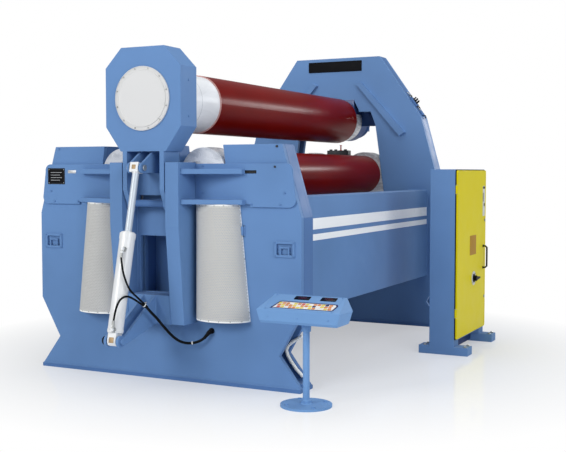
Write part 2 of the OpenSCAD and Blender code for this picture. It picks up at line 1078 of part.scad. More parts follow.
module cabinet_body() {
    inner_h = cabinet_height - door_low_z - 2 * sheet + 20;
    color(blue)
        union() {
            difference() {
                translate([cabinet_x, cabinet_y, door_low_z - 20])
                    cube([cabinet_depth, cabinet_width, cabinet_height - door_low_z + 20]);
                translate([cabinet_x + sheet, cabinet_y + sheet, door_low_z - 20 + sheet])
                    cube([cabinet_depth, cabinet_width - 2 * sheet, inner_h]);
            }
            for (y = [cabinet_y, cabinet_y + cabinet_width - cabinet_foot]) {
                translate([cabinet_x - (cabinet_foot_reach - 29), y, 0])
                    cube([cabinet_depth + 2 * cabinet_foot_reach - 29, cabinet_foot, foot_z]);
                translate([cabinet_x, y, foot_z - 1])
                    cube([cabinet_depth, cabinet_foot, door_low_z - 20 - foot_z + 2]);
            }
        }
}

// 2D rectangle with rounded corners
module rounded(width, height, r) {
    translate([r, 0])
        square([width - 2 * r, height]);
    translate([0, r])
        square([width, height - 2 * r]);
    for (x = [r, width - r], y = [r, height - r])
        translate([x, y])
            circle(r);
}

// door on the cabinet's outer side, hinged at its edge near the drop end
module cabinet_door() {
    x0 = cabinet_front_x + door_gap;
    color(yellow)
        union() {
            sideways(x0, door_plate)
                translate([cabinet_y + door_margin, door_low_z])
                    rounded(cabinet_width - 2 * door_margin, cabinet_height - door_low_z - 10, door_corner_r);
            for (z = [350, 1500])
                translate([cabinet_front_x + hinge_out, cabinet_y + hinge_in, z])
                    cylinder(h = 80, r = hinge_r);
        }
}

// bow handle with chamfered corners
module door_handle() {
    x0 = cabinet_front_x + door_gap + door_plate;
    y0 = cabinet_y + cabinet_width - handle_inset;
    out = handle_out;
    bar = handle_bar;
    turn = 20;
    low = handle_low_z;
    high = handle_high_z;
    color(black)
        translate([x0, 0, 0])
            upright(y0 - bar / 2, bar)
                polygon([
                    [0, low], [out - turn, low], [out, low + turn], [out, high - turn], [out - turn, high],
                    [0, high], [0, high - bar], [out - turn - 5, high - bar], [out - bar, high - turn - 5],
                    [out - bar, low + turn + 5], [out - turn - 5, low + bar], [0, low + bar]
                ]);
}

// rotary main switch: a round escutcheon, a hub and a pointer handle
module isolator_switch() {
    x0 = cabinet_front_x + door_gap + door_plate;
    color(black)
        translate([x0, cabinet_y + isolator_y, isolator_z])
            union() {
                rotate([0, 90, 0])
                    cylinder(h = 8, r = 36);
                rotate([0, 90, 0])
                    cylinder(h = 36, r = 25);
                sideways(20, 18)
                    polygon([[-26, -16], [24, -16], [112, -8], [112, 8], [24, 16], [-26, 16]]);
            }
}

module control_stand() {
    color(blue)
        translate([stand_x, stand_y, 0])
            union() {
                cylinder(h = disc_plate, r = disc_r);
                cylinder(h = console_low_z, r = pole_r);
                cylinder(h = disc_plate + 25, r = pole_r + 12);
            }
}

// console whose top slopes down to the front, with chamfered ends
module control_console() {
    half = console_width / 2;
    front = stand_y + console_front;
    back = stand_y + console_back;
    edge_z = console_low_z + 104;
    waist = (console_low_z + console_top_z) / 2;
    color(blue)
        intersection() {
            sideways(stand_x - half, console_width)
                polygon([
                    [front, console_low_z + 20], [front + 15, console_low_z], [back - 10, console_low_z],
                    [back, console_low_z + 13], [back, console_top_z - 8], [back - 12, console_top_z],
                    [front + 6, edge_z], [front, edge_z - 8]
                ]);
            upright(front - 1, back - front + 2)
                translate([stand_x, 0])
                    polygon([
                        [-half + 30, console_low_z], [half - 30, console_low_z], [half, waist],
                        [half - 45, console_top_z], [-half + 45, console_top_z], [-half, waist]
                    ]);
        }
}

// point on a smooth curve through four points, t from 0 to 1 between the middle two
function curve_at(a, b, c, d, t) =
    0.5 * (2 * b + (c - a) * t + (2 * a - 5 * b + 4 * c - d) * t * t + (3 * b - a - 3 * c + d) * t * t * t);

// rings of a tube along hand-chosen points
module tube(points, r) {
    sides = 10;
    per = 2;
    last = len(points) - 1;
    path = [
        for (i = [0 : last - 1], k = [0 : per - 1])
            curve_at(points[max(i - 1, 0)], points[i], points[i + 1], points[min(i + 2, last)], k / per),
        points[last]
    ];
    count = len(path);
    function direction(i) =
        let (d = path[min(i + 1, count - 1)] - path[max(i - 1, 0)])
            d / norm(d);
    function across(i) =
        let (t = direction(i), c = cross(t, [1, -0.5, 0.3]))
            c / norm(c);
    rings = [
        for (i = [0 : count - 1], k = [0 : sides - 1])
            let (u = across(i), v = cross(direction(i), u), a = 360 * k / sides)
                path[i] + r * (cos(a) * u + sin(a) * v)
    ];
    walls = [
        for (i = [0 : count - 2], k = [0 : sides - 1])
            [i * sides + k, i * sides + (k + 1) % sides, (i + 1) * sides + (k + 1) % sides, (i + 1) * sides + k]
    ];
    caps = [
        [for (k = [sides - 1 : -1 : 0]) k],
        [for (k = [0 : sides - 1]) (count - 1) * sides + k]
    ];
    polyhedron(rings, concat(walls, caps), convexity = 8);
}

hose_r = 8;
bundle_r = 11;
gland_x = 466;
gland_z = 431;
gland_r = 15;
gland_seat = 6;
gland_bend = 30;
gland_mouth = 34.4;
gland_way = [-0.6, -0.25, -0.76];
upper_route = [
    [24, -595.2, 1083.6], [24, -604, 1046.6], [38.6, -613.3, 987.6], [57, -622.5, 930.9],
    [79.8, -623.4, 871], [101.1, -610, 813.4], [112, -573, 773], [111, -523, 741],
    [114.5, -488.1, 715.5], [123, -457.7, 688.8]
];
lower_route = [
    [29, -722.2, 547.2], [29, -713.9, 582.2], [34.3, -708, 627.7], [43.6, -702.1, 669.7],
    [51.6, -687.9, 709.8], [58.9, -660.4, 739.6], [69.8, -622.2, 754.9], [80.5, -578.9, 748],
    [97, -540, 725], [111.5, -501, 698], [123, -468.5, 675.7]
];
bundle_route = [
    [123.5, -461.6, 681], [134.2, -428.3, 653.4], [133.1, -370.4, 606.6], [137.2, -297.6, 552.4],
    [161.7, -228.5, 471.6], [205.1, -166, 388.4], [259.2, -120.1, 341.3], [329.6, -83.5, 333.2],
    [386.5, -62, 350.7], [420.2, -49.1, 372.9], [445.1, -38.7, 404.5]
];

module hose_upper() {
    color(black)
        tube(upper_route, hose_r);
}

module hose_lower() {
    color(black)
        tube(lower_route, hose_r);
}

module hose_bundle() {
    color(black)
        tube(bundle_route, bundle_r);
}

near_front_plate();
near_rear_plate();
near_frame_core();
bearing_cover_left();
bearing_cover_right();
guide_post_left();
guide_post_right();
post_web();
tilt_shaft();
guard_left();
guard_right();
side_beam_left();
side_beam_right();
yoke_inner_plate();
yoke_outer_plate();
yoke_core();
top_bearing();
lift_barrel_near_left();
lift_barrel_near_right();
lift_barrel_far_left();
lift_barrel_far_right();
top_roll();
side_roll_left();
side_roll_right();
block_near_left();
block_near_right();
block_far_left();
block_far_right();
top_drive();
side_drive_left();
side_drive_right();
drop_head();
head_cap();
tilt_barrel();
tilt_rod();
hose_upper();
hose_lower();
hose_bundle();
hose_gland();
cabinet_body();
cabinet_door();
door_handle();
isolator_switch();
control_stand();
control_console();
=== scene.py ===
"""Looks of the three-roll plate rolling machine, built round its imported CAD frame.

Places and sizes are in metres, in the CAD frame: X across the machine, Y along the rolls, Z up. Only the
profiles of turned shapes, the sizes of bolts and the routes of the hoses are in millimetres.
"""

import math
import random
from bisect import bisect_left, bisect_right
from itertools import accumulate

import bmesh
import bpy
from mathutils import Matrix, Quaternion, Vector


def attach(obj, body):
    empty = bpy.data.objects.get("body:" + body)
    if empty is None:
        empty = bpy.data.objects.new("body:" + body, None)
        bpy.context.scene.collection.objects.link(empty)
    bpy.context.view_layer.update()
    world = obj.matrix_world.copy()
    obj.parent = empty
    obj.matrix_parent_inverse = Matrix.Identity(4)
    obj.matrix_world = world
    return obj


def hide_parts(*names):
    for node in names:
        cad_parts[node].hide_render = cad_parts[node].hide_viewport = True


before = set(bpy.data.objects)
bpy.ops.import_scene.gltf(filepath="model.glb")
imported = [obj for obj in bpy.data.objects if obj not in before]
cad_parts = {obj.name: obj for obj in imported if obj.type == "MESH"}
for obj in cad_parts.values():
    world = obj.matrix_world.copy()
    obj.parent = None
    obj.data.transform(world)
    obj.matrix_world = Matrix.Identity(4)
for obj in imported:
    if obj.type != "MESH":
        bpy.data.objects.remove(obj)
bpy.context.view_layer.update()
SCENE = bpy.context.scene

MM = 0.001
SIDES = ((1, "right"), (-1, "left"))
FRONT, BACK = Vector((0, -1, 0)), Vector((0, 1, 0))
UP, RIGHT = Vector((0, 0, 1)), Vector((1, 0, 0))

# places that several pieces share
TOP_ROLL_Z = 2.28
SIDE_ROLL_X, SIDE_ROLL_Z = 0.323, 1.675
ROLL_FACE = (0.5325, 3.5735)
POCKET_X, POCKET_Z = 1.118, 1.107
BEAM_X, BEAM_ENDS = 1.0715, (0.2103, 3.5927)
STAND_X, STAND_Y = 1.457, -0.332
DOOR_X, DOOR_MIDDLE = 1.8655, (2.566, 0.9315)

# ---- camera


def make_camera():
    """The photograph's viewing angle: a long lens at eye height, off the drop end's right corner."""
    data = bpy.data.cameras.new("camera")
    data.sensor_width = 36.0
    data.lens = 62.35
    camera = bpy.data.objects.new("camera", data)
    SCENE.collection.objects.link(camera)
    camera.location = (4.4566, -6.7217, 1.7)
    camera.rotation_mode = "QUATERNION"
    camera.rotation_quaternion = Vector((-0.4459, 0.8935, -0.0548)).to_track_quat("-Z", "Y")
    SCENE.camera = camera


make_camera()

# ---- nodes


def srgb(r, g, b):
    """A colour given as it looks on a screen, 0 to 255, as the linear values that Blender takes."""
    out = []
    for v in (r, g, b):
        v /= 255.0
        out.append(v / 12.92 if v <= 0.04045 else ((v + 0.055) / 1.055) ** 2.4)
    return tuple(out) + (1.0,)


def shade(colour, k):
    """A linear colour made darker or lighter by a factor."""
    return tuple(min(1.0, c * k) for c in colour[:3]) + (1.0,)


class Nodes:
    """The emptied node tree of a material or world."""

    def __init__(self, owner, out):
        owner.use_nodes = True
        self.tree = owner.node_tree
        self.tree.nodes.clear()
        self.out = self.node(out)

    def put(self, socket, value):
        """Links a socket's value, or sets a plain one."""
        if isinstance(value, bpy.types.NodeSocket):
            self.tree.links.new(value, socket)
        else:
            socket.default_value = value

    def node(self, kind, sockets=None, **settings):
        n = self.tree.nodes.new("ShaderNode" + kind)
        for key, value in settings.items():
            setattr(n, key, value)
        for socket, value in (sockets or {}).items():
            self.put(n.inputs[socket], value)
        return n

    def show(self, shader):
        self.put(self.out.inputs["Surface"], shader.outputs[0])


class Shader(Nodes):
    """A material's principled shader, with short calls for the textures and sums used here."""

    def __init__(self, name):
        self.material = bpy.data.materials.new(name)
        super().__init__(self.material, "OutputMaterial")
        self.bsdf = self.node("BsdfPrincipled")
        self.show(self.bsdf)
        self.place = self.node("TexCoord").outputs["Object"]

    def finish(self, values):
        """Sets the shader's own sockets and gives the material."""
        for name, value in values.items():
            self.put(self.bsdf.inputs[name], value)
        return self.material

    def math(self, op, a, b=0.0):
        return self.node("Math", {0: a, 1: b}, operation=op).outputs[0]

    def times(self, a, b):
        return self.math("MULTIPLY", a, b)

    def flip(self, value):
        return self.math("SUBTRACT", 1.0, value)

    def off(self, value, middle):
        return self.math("ABSOLUTE", self.math("SUBTRACT", value, middle))

    def mix(self, factor, a, b):
        return self.node("Mix", {0: factor, 6: a, 7: b}, data_type="RGBA").outputs[2]

    def remap(self, value, low, high, to_low=0.0, to_high=1.0):
        return self.node("MapRange", {0: value, 1: low, 2: high, 3: to_low, 4: to_high}).outputs[0]

    def scaled(self, scale, turn=(0, 0, 0)):
        return self.node("Mapping", {"Vector": self.place, "Scale": scale, "Rotation": turn}).outputs[0]

    def noise(self, scale, detail=4.0, rough=0.55, vector=None, twist=0.0):
        sockets = {"Vector": vector or self.place, "Scale": scale, "Detail": detail, "Roughness": rough}
        return self.node("TexNoise", {**sockets, "Distortion": twist}).outputs[0]

    def cells(self, scale):
        return self.node("TexVoronoi", {"Vector": self.place, "Scale": scale}).outputs["Distance"]

    def axes(self, vector=None):
        return self.node("SeparateXYZ", {0: vector or self.place}).outputs

    def radius(self, x, v, upright=True):
        """Distance from a line along Y at x and height v, or along Z at x and y = v."""
        across = self.axes()
        legs = (self.math("SUBTRACT", across[0], x), self.math("SUBTRACT", across[2 if upright else 1], v))
        return self.math("SQRT", self.math("ADD", *(self.times(leg, leg) for leg in legs)))

    def step(self, value, edge, soft=0.0004):
        """0 below edge, 1 above it."""
        return self.remap(value, edge - soft, edge + soft)

    def bump(self, height, strength, distance, normal=None):
        sockets = {"Strength": strength, "Distance": distance, "Height": height}
        return self.node("Bump", {**sockets, "Normal": normal} if normal else sockets).outputs[0]


# ---- materials


def paint_layer(s, colour, drift=0.05, dust=0.0):
    """Sprayed enamel's colour, with slow drift, clouds and a little dust on level faces; and its clouds."""
    cloud = s.noise(7.0, 5.0, 0.6)
    slow = s.remap(s.noise(0.9, 3.0), 0.3, 0.7)
    tone = s.mix(slow, shade(colour, 1.0 - 2.2 * drift), shade(colour, 1.0 + 1.6 * drift))
    tone = s.mix(s.remap(cloud, 0.35, 0.75, 0.0, 0.35), tone, colour)
    speck = s.math("LESS_THAN", s.cells(55.0), 0.035)
    tone = s.mix(s.times(speck, 0.25), tone, shade(colour, 0.6))
    if dust:
        facing = s.axes(s.node("NewGeometry").outputs["Normal"])[2]
        level = s.times(s.remap(facing, 0.75, 1.0, 0.0, dust), s.remap(cloud, 0.3, 0.7, 0.5, 1.0))
        tone = s.mix(level, tone, srgb(196, 203, 210))
    return tone, cloud


def painted(name, colour, rough=0.52, drift=0.05, dust=0.0, peel=0.35):
    """Sprayed machine enamel with faint orange peel and cloudy gloss."""
    s = Shader(name)
    tone, cloud = paint_layer(s, colour, drift, dust)
    return s.finish({
        "Base Color": tone,
        "Roughness": s.remap(cloud, 0.25, 0.8, rough - 0.05, rough + 0.09),
        "Specular IOR Level": 0.08,
        "Normal": s.bump(s.noise(210.0, 2.0), peel, 0.0006, s.bump(s.noise(18.0, 2.0), 0.12, 0.002)),
    })


def bare_metal(name, colour, rough=0.32, streak=(1.0, 1.0, 1.0), fine=260.0, stain=0.12, metal=0.85):
    """Machined steel or brass: tool marks along one axis, with a few dull stains."""
    s = Shader(name)
    marks = s.noise(fine, 3.0, 0.6, s.scaled(streak))
    blot = s.noise(6.0, 4.0, 0.6)
    tone = s.mix(s.remap(marks, 0.3, 0.7), shade(colour, 0.72), colour)
    shine = s.remap(marks, 0.2, 0.8, rough - 0.07, rough + 0.1)
    return s.finish({
        "Base Color": s.mix(s.remap(blot, 0.55, 0.8, 0.0, stain * 2), tone, shade(colour, 0.55)),
        "Metallic": metal,
        "Roughness": s.math("ADD", shine, s.remap(blot, 0.4, 0.8, 0.0, 0.12)),
        "Normal": s.bump(marks, 0.25, 0.0005),
    })


def plastic(name, colour, rough=0.5, grain=520.0, depth=0.3, glow=0.0):
    """Moulded plastic, rubber or printed film with a fine grain."""
    s = Shader(name)
    wide = s.noise(12.0, 3.0)
    tone = s.mix(s.remap(wide, 0.3, 0.7), shade(colour, 0.85), colour)
    lit = {"Emission Color": tone, "Emission Strength": glow} if glow else {}
    return s.finish({
        "Base Color": tone,
        "Roughness": s.remap(wide, 0.3, 0.7, rough - 0.06, rough + 0.06),
        "Specular IOR Level": 0.1,
        "Normal": s.bump(s.noise(grain, 2.0), depth, 0.0004),
        **lit,
    })


def rolled(name, x, z, face_r):
    """A roll: red protective paint on its working face, and pale film on its collar and spigots."""
    s = Shader(name)
    y = s.axes()[1]
    red = srgb(124, 12, 4)
    start, end = ROLL_FACE
    along = s.noise(3.0, 4.0, 0.55, s.scaled((1.0, 0.35, 1.0)))
    rings = s.noise(60.0, 3.0, 0.6, s.scaled((0.25, 6.0, 0.25)))
    tone = s.mix(s.remap(along, 0.3, 0.72), shade(red, 0.72), shade(red, 1.12))
    tone = s.mix(s.remap(rings, 0.4, 0.7, 0.0, 0.22), tone, shade(red, 0.55))
    # painted highlight: a thin pink-white ring on the chamfer where the working face starts
    rim = s.times(s.step(y, start), s.flip(s.step(y, start + 0.007, 0.002)))
    tone = s.mix(s.times(rim, 0.8), tone, srgb(222, 176, 170))
    film = s.noise(5.0, 4.0, 0.6, s.scaled((1.0, 0.5, 1.0)), 0.6)
    pale = s.mix(s.remap(film, 0.3, 0.7), srgb(222, 223, 226), srgb(244, 245, 247))
    seam = s.math("LESS_THAN", s.off(y, 0.245), 0.003)
    pale = s.mix(s.times(seam, 0.45), pale, srgb(120, 124, 130))
    on_face = s.times(s.step(y, start), s.flip(s.step(y, end)))
    on_face = s.times(on_face, s.step(s.radius(x, z), face_r - 0.03, 0.001))
    return s.finish({
        "Base Color": s.mix(on_face, pale, tone),
        "Roughness": s.math("ADD", s.remap(along, 0.3, 0.7, 0.28, 0.33), s.times(rings, 0.04)),
        "IOR": 1.4,
        "Specular IOR Level": 0.09,
        "Normal": s.bump(rings, 0.1, 0.0006, s.bump(film, 0.05, 0.004)),
    })


def wrapped(name, light, dark, tight):
    """Machined housing in clear protective film: pale, creased along slanting folds, with painted shade across
    the folds and painted glints along their crests.
    """
    s = Shader(name)
    folds = s.noise(tight, 5.0, 0.62, s.scaled((1.0, 0.5, 2.6), (0.4, 0.5, 0.7)), 1.6)
    fine = s.noise(tight * 6.0, 4.0, 0.6, s.scaled((0.8, 0.6, 2.2), (0.2, 0.9, 0.5)), 0.8)
    # painted shade and light: the colour runs from dark to light across the folds
    tone = s.mix(s.remap(folds, 0.36, 0.66), dark, light)
    # painted highlight: near-white glints along the folds' crests
    tone = s.mix(s.remap(s.off(folds, 0.52), 0.0, 0.012, 0.75, 0.0), tone, srgb(240, 241, 244))
    warm = s.remap(s.noise(4.0, 2.0), 0.58, 0.72, 0.0, 0.35)
    return s.finish({
        "Base Color": s.mix(warm, tone, srgb(214, 190, 190)),
        "Roughness": s.remap(fine, 0.3, 0.7, 0.24, 0.42),
        "Coat Weight": 0.3,
        "Coat Roughness": 0.08,
        "Specular IOR Level": 0.55,
        "Normal": s.bump(folds, 0.35, 0.012, s.bump(fine, 0.15, 0.002)),
    })


def bearing_block(name):
    """The drive-end top bearing: film over the round housing, deep blue paint on the block above it."""
    s = Shader(name)
    folds = s.noise(11.0, 5.0, 0.62, s.scaled((1.0, 0.5, 2.2), (0.4, 0.5, 0.7)), 1.4)
    # painted shade and light: the film's colour runs from dark to light across its folds
    pale = s.mix(s.remap(folds, 0.36, 0.66), srgb(150, 154, 160), srgb(226, 227, 230))
    paint, cloud = paint_layer(s, BLUE_DEEP)
    round_part = s.flip(s.step(s.radius(0.0, TOP_ROLL_Z), 0.2185))
    return s.finish({
        "Base Color": s.mix(round_part, paint, pale),
        "Roughness": s.remap(cloud, 0.25, 0.8, 0.3, 0.42),
        "Coat Weight": 0.3,
        "Coat Roughness": 0.12,
        "Normal": s.bump(s.times(folds, round_part), 0.4, 0.01),
    })


def rod_metal(name):
    """Chromed rod with a white-painted eye block at its end."""
    s = Shader(name)
    marks = s.noise(40.0, 2.0, 0.5)
    eye = s.step(s.axes()[2], 1.692, 0.001)
    chrome = s.mix(marks, srgb(190, 199, 208), srgb(202, 209, 217))
    return s.finish({
        "Base Color": s.mix(eye, chrome, srgb(228, 229, 230)),
        "Metallic": s.times(s.flip(eye), 0.25),
        "Roughness": s.remap(marks, 0.3, 0.7, 0.4, 0.46),
        "Normal": s.bump(s.noise(500.0, 2.0), 0.03, 0.0002),
    })


def cylinder_paint(name):
    """White cylinder barrel: satin enamel with a faint grease film towards its lower end."""
    s = Shader(name)
    tone, cloud = paint_layer(s, srgb(232, 233, 234), 0.02)
    low = s.remap(s.axes()[2], 0.9, 0.4, 0.05, 0.28)
    grime = s.times(s.remap(s.noise(14.0, 4.0, 0.6), 0.5, 0.75), low)
    return s.finish({
        "Base Color": s.mix(grime, tone, srgb(176, 174, 168)),
        "Roughness": s.remap(cloud, 0.25, 0.8, 0.26, 0.38),
        "Coat Weight": 0.3,
        "Coat Roughness": 0.1,
        "Normal": s.bump(s.noise(240.0, 2.0), 0.2, 0.0005),
    })


BLUE_DEEP = srgb(52, 80, 132)
KEYS = {
    "key_orange": (214, 132, 70), "key_yellow": (226, 206, 96), "key_red": (206, 84, 78),
    "key_white": (236, 234, 232), "key_navy": (44, 46, 92),
}

M = {
    "blue": painted("enamel_blue", srgb(102, 138, 186), dust=0.12),
    # a darker copy of the frame's blue: painted shade on the cores, recesses, tilt shaft, lubrication blocks
    # and drives' fins
    "blue_inner": painted("enamel_blue_inner", srgb(84, 119, 170), rough=0.42, dust=0.12),
    "blue_deep": painted("enamel_blue_deep", BLUE_DEEP, rough=0.4),
    # dark navy: painted shade, used for the plinth panel under the cabinet
    "navy": painted("enamel_navy_painted_shade", srgb(34, 56, 104), rough=0.45),
    # a lighter copy of the frame's blue for the control stand and console: painted light
    "stand": painted("enamel_stand_painted_light", srgb(112, 152, 200), rough=0.48, dust=0.06),
    "white": painted("enamel_white", srgb(216, 215, 214), rough=0.34, drift=0.015),
    "stripe": painted("enamel_stripe", srgb(252, 253, 254), rough=0.3, drift=0.01),
    "yellow": painted("enamel_yellow", srgb(222, 206, 8), rough=0.4, drift=0.015),
    "cream": painted("enamel_cream", srgb(198, 197, 194), rough=0.5, drift=0.02, peel=0.2),
    # near white: the guards' trims, and the painted highlight along the frame's waist edges
    "trim": painted("enamel_trim_and_highlight", srgb(248, 248, 244), rough=0.4, drift=0.01),
    "steel": bare_metal("machined_steel", srgb(200, 202, 204)),
    "dark_steel": bare_metal("blackened_steel", srgb(60, 62, 66), 0.42, metal=0.6),
    "zinc": bare_metal("zinc_steel", srgb(186, 188, 186), 0.36, fine=420.0),
    "brass": bare_metal("turned_brass", srgb(172, 144, 106), 0.45, fine=320.0, metal=0.4),
    "silver_film": bare_metal("label_silver", srgb(206, 208, 210), 0.3, (6.0, 1.0, 0.4), 160.0, 0.05, 0.5),
    "galvanised": bare_metal("galvanised_panel", srgb(178, 182, 184), 0.45, fine=90.0, metal=0.6),
    "rod": rod_metal("chromed_rod"),
    "barrel": cylinder_paint("cylinder_white"),
    "film": wrapped("film_wrapped_housing", srgb(226, 227, 230), srgb(188, 191, 197), 4.5),
    # the film made darker for the far blocks: painted shade
    "film_far": wrapped("film_wrapped_far_painted_shade", srgb(206, 208, 212), srgb(160, 163, 169), 7.0),
    "bearing": bearing_block("top_bearing_finish"),
    "roll_top": rolled("roll_red_top", 0.0, TOP_ROLL_Z, 0.25),
    "roll_left": rolled("roll_red_left", -SIDE_ROLL_X, SIDE_ROLL_Z, 0.21),
    "roll_right": rolled("roll_red_right", SIDE_ROLL_X, SIDE_ROLL_Z, 0.21),
    "black": plastic("black_plastic", srgb(18, 18, 21)),
    "plate_black": plastic("plate_black", srgb(9, 10, 15), 0.6, 700.0, 0.1),
    "amber": plastic("label_amber", srgb(178, 132, 36), 0.45),
    "grey": plastic("panel_grey", srgb(172, 174, 176), 0.45),
    "pale": plastic("panel_pale", srgb(214, 216, 214), 0.45),
    "rubber": plastic("hose_rubber", srgb(8, 12, 15), 0.5, 900.0, 0.4),
    "glass": plastic("display_glass", srgb(8, 8, 22), 0.12, 200.0, 0.02),
    "glimmer": plastic("display_glimmer", srgb(120, 44, 62), 0.4, glow=0.25),
    "tie": plastic("cable_tie", srgb(236, 236, 232), 0.4),
    "trunking": plastic("cable_trunking", srgb(132, 140, 148)),
    **{tone: plastic(tone, srgb(*colour), 0.35) for tone, colour in KEYS.items()},
}


def by_member(groups):
    """Turns {value: "name name ..."} round into {name: value}."""
    return {name: value for value, names in groups.items() for name in names.split()}


# ---- mesh helpers


def frame_at(place, axis, up=None):
    """A matrix whose own Z runs along axis, at place."""
    axis = Vector(axis).normalized()
    if up is None:
        turn = axis.to_track_quat("Z", "Y").to_matrix()
    else:
        side = Vector(up).cross(axis).normalized()
        turn = Matrix((side, axis.cross(side), axis)).transposed()
    return Matrix.Translation(Vector(place)) @ turn.to_4x4()


def rounded(w, h, r, steps=5):
    """Outline of a rectangle with rounded corners."""
    out = []
    for cx, cy, a0 in ((1, 1, 0), (-1, 1, 90), (-1, -1, 180), (1, -1, 270)):
        for i in range(steps + 1):
            a = math.radians(a0 + 90 * i / steps)
            out.append((cx * (w / 2 - r) + r * math.cos(a), cy * (h / 2 - r) + r * math.sin(a)))
    return out


def corners(a, b):
    """Corners of a rectangle of half sizes a and b."""
    return [(x, y) for x in (-a, a) for y in (-b, b)]


def circle(count, r, phase=0.5):
    """Points at even angles round a circle."""
    angles = [2 * math.pi * (i + phase) / count for i in range(count)]
    return [(r * math.cos(a), r * math.sin(a)) for a in angles]


HEX_PHASE = 0.3 / (2 * math.pi / 6)
BEAD_STEP = 0.009


class Piece:
    """A mesh in the making: shapes are added, and done() makes the object, which rides on a body."""

    waiting = []

    def __init__(self, name, finish, body="frame", sharp=32.0):
        self.name, self.finish, self.body, self.sharp = name, finish, body, sharp
        self.bm = bmesh.new()
        Piece.waiting.append(self)

    def done(self):
        Piece.waiting.remove(self)
        bmesh.ops.recalc_face_normals(self.bm, faces=self.bm.faces[:])
        mesh = bpy.data.meshes.new(self.name)
        self.bm.to_mesh(mesh)
        self.bm.free()
        obj = bpy.data.objects.new(self.name, mesh)
        SCENE.collection.objects.link(obj)
        mesh.materials.append(M[self.finish])
        for p in mesh.polygons:
            p.use_smooth = True
        mesh.set_sharp_from_angle(angle=math.radians(self.sharp))
        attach(obj, self.body)
        return obj

    def verts(self, points):
        return [self.bm.verts.new(p) for p in points]

    def bevel(self, edges, width):
        bmesh.ops.bevel(self.bm, geom=edges, offset=width, segments=2, profile=0.7, affect="EDGES")

    def skin(self, rows):
        """A closed bar whose cross-sections are the rows of corners."""
        for u, v in zip(rows, rows[1:]):
            for k in range(len(u)):
                n = (k + 1) % len(u)
                self.bm.faces.new((u[k], u[n], v[n], v[k]))
        self.bm.faces.new(rows[0][::-1])
        self.bm.faces.new(rows[-1])

    def box(self, lo, hi, soft=0.0012, turn=None):
        """A block between two corners with softened edges; turn is a matrix from the block's own space."""
        lo, hi = Vector(lo), Vector(hi)
        size = Vector(abs(v) for v in hi - lo)
        verts = bmesh.ops.create_cube(self.bm, size=1.0)["verts"]
        matrix = Matrix.Translation((hi + lo) / 2) @ Matrix.Diagonal((*size, 1.0))
        bmesh.ops.transform(self.bm, verts=verts, matrix=(turn or Matrix.Identity(4)) @ matrix)
        if soft:
            self.bevel(list({e for v in verts for e in v.link_edges}), min(soft, min(size) * 0.3))

    def border(self, a, b, bar, low, high, matrix):
        """Four bars round a rectangle of half sizes a and b."""
        for x0, y0, x1, y1 in ((-a, -b, a, bar - b), (-a, b - bar, a, b),
                               (-a, -b, bar - a, b), (a - bar, -b, a, b)):
            self.box((x0, y0, low), (x1, y1, high), 0.0002, matrix)

    def prism(self, outline, matrix, thick, soft=0.0):
        """A plate of the given outline, in the matrix's own XY plane, that rises by thick along its Z."""
        low = self.verts(matrix @ Vector((x, y, 0)) for x, y in outline)
        high = self.verts(matrix @ Vector((x, y, thick)) for x, y in outline)
        self.skin([low, high])
        if soft:
            self.bevel([e for e in {e for v in low + high for e in v.link_edges}
                        if (e.verts[0] in low) == (e.verts[1] in low)], soft)

    def plate(self, w, h, r, matrix, thick, soft=0.0, steps=5):
        self.prism(rounded(w, h, r, steps), matrix, thick, soft)

    def turned(self, profile, place, axis, count=24, phase=0.0):
        """A turned shape: profile is (radius, height) pairs in mm along axis, from place."""
        m = frame_at(place, axis)
        rings = []
        for r, h in profile:
            ring = circle(count, r * MM, phase) if r else [(0, 0)]
            rings.append(self.verts(m @ Vector((x, y, h * MM)) for x, y in ring))
        for a, b in zip(rings, rings[1:]):
            for i in range(count):
                j = (i + 1) % count
                face = dict.fromkeys((a[i % len(a)], a[j % len(a)], b[j % len(b)], b[i % len(b)]))
                if len(face) > 2:
                    self.bm.faces.new(face)

    def hex_bolt(self, place, axis, d, washer=True):
        """Hexagon head of a bolt with shank diameter d in mm, on its washer."""
        base = 0
        if washer:
            base = d * 0.2
            washer = [(0, 0), (d * 1.15, 0), (d * 1.15, d * 0.16), (d * 1.05, base), (0, base)]
            self.turned(washer, place, axis, 20)
        r = d * 0.98
        side, top = base + d * 0.52, base + d * 0.64
        head = [(0, base), (r * 0.97, base), (r, base + d * 0.06), (r, side), (r * 0.86, top), (0, top)]
        self.turned(head, place, axis, 6, HEX_PHASE)

    def socket_bolt(self, place, axis, r):
        """Cap screw with a hollow head, r in mm."""
        h = r * 0.95
        head = [(r * 0.98, 0), (r, r * 0.1), (r, h * 0.85), (r * 0.88, h), (r * 0.52, h), (r * 0.5, h * 0.45)]
        self.turned(head + [(0, h * 0.4)], place, axis, 16)

    def ring(self, inner, outer, thick, place, axis, count):
        """A flat ring with a broken outer edge, in mm."""
        edge = [(outer, 0), (outer, thick * 0.8), (outer - thick * 0.2, thick)]
        self.turned([(inner, 0), *edge, (inner, thick), (inner, 0)], place, axis, count)

    def tube(self, points, r, count=10):
        """A round bar through points, with its rings carried along without a twist."""
        points = [Vector(p) for p in points]
        ways = [(b - a).normalized() for a, b in zip(points[:1] + points, points[1:] + points[-1:])]
        side = ways[0].orthogonal().normalized()
        rows = []
        for p, way in zip(points, ways):
            side = (side - way * side.dot(way)).normalized()
            other = way.cross(side)
            rows.append(self.verts(p + x * side + y * other for x, y in circle(count, r, 0)))
        self.skin(rows)

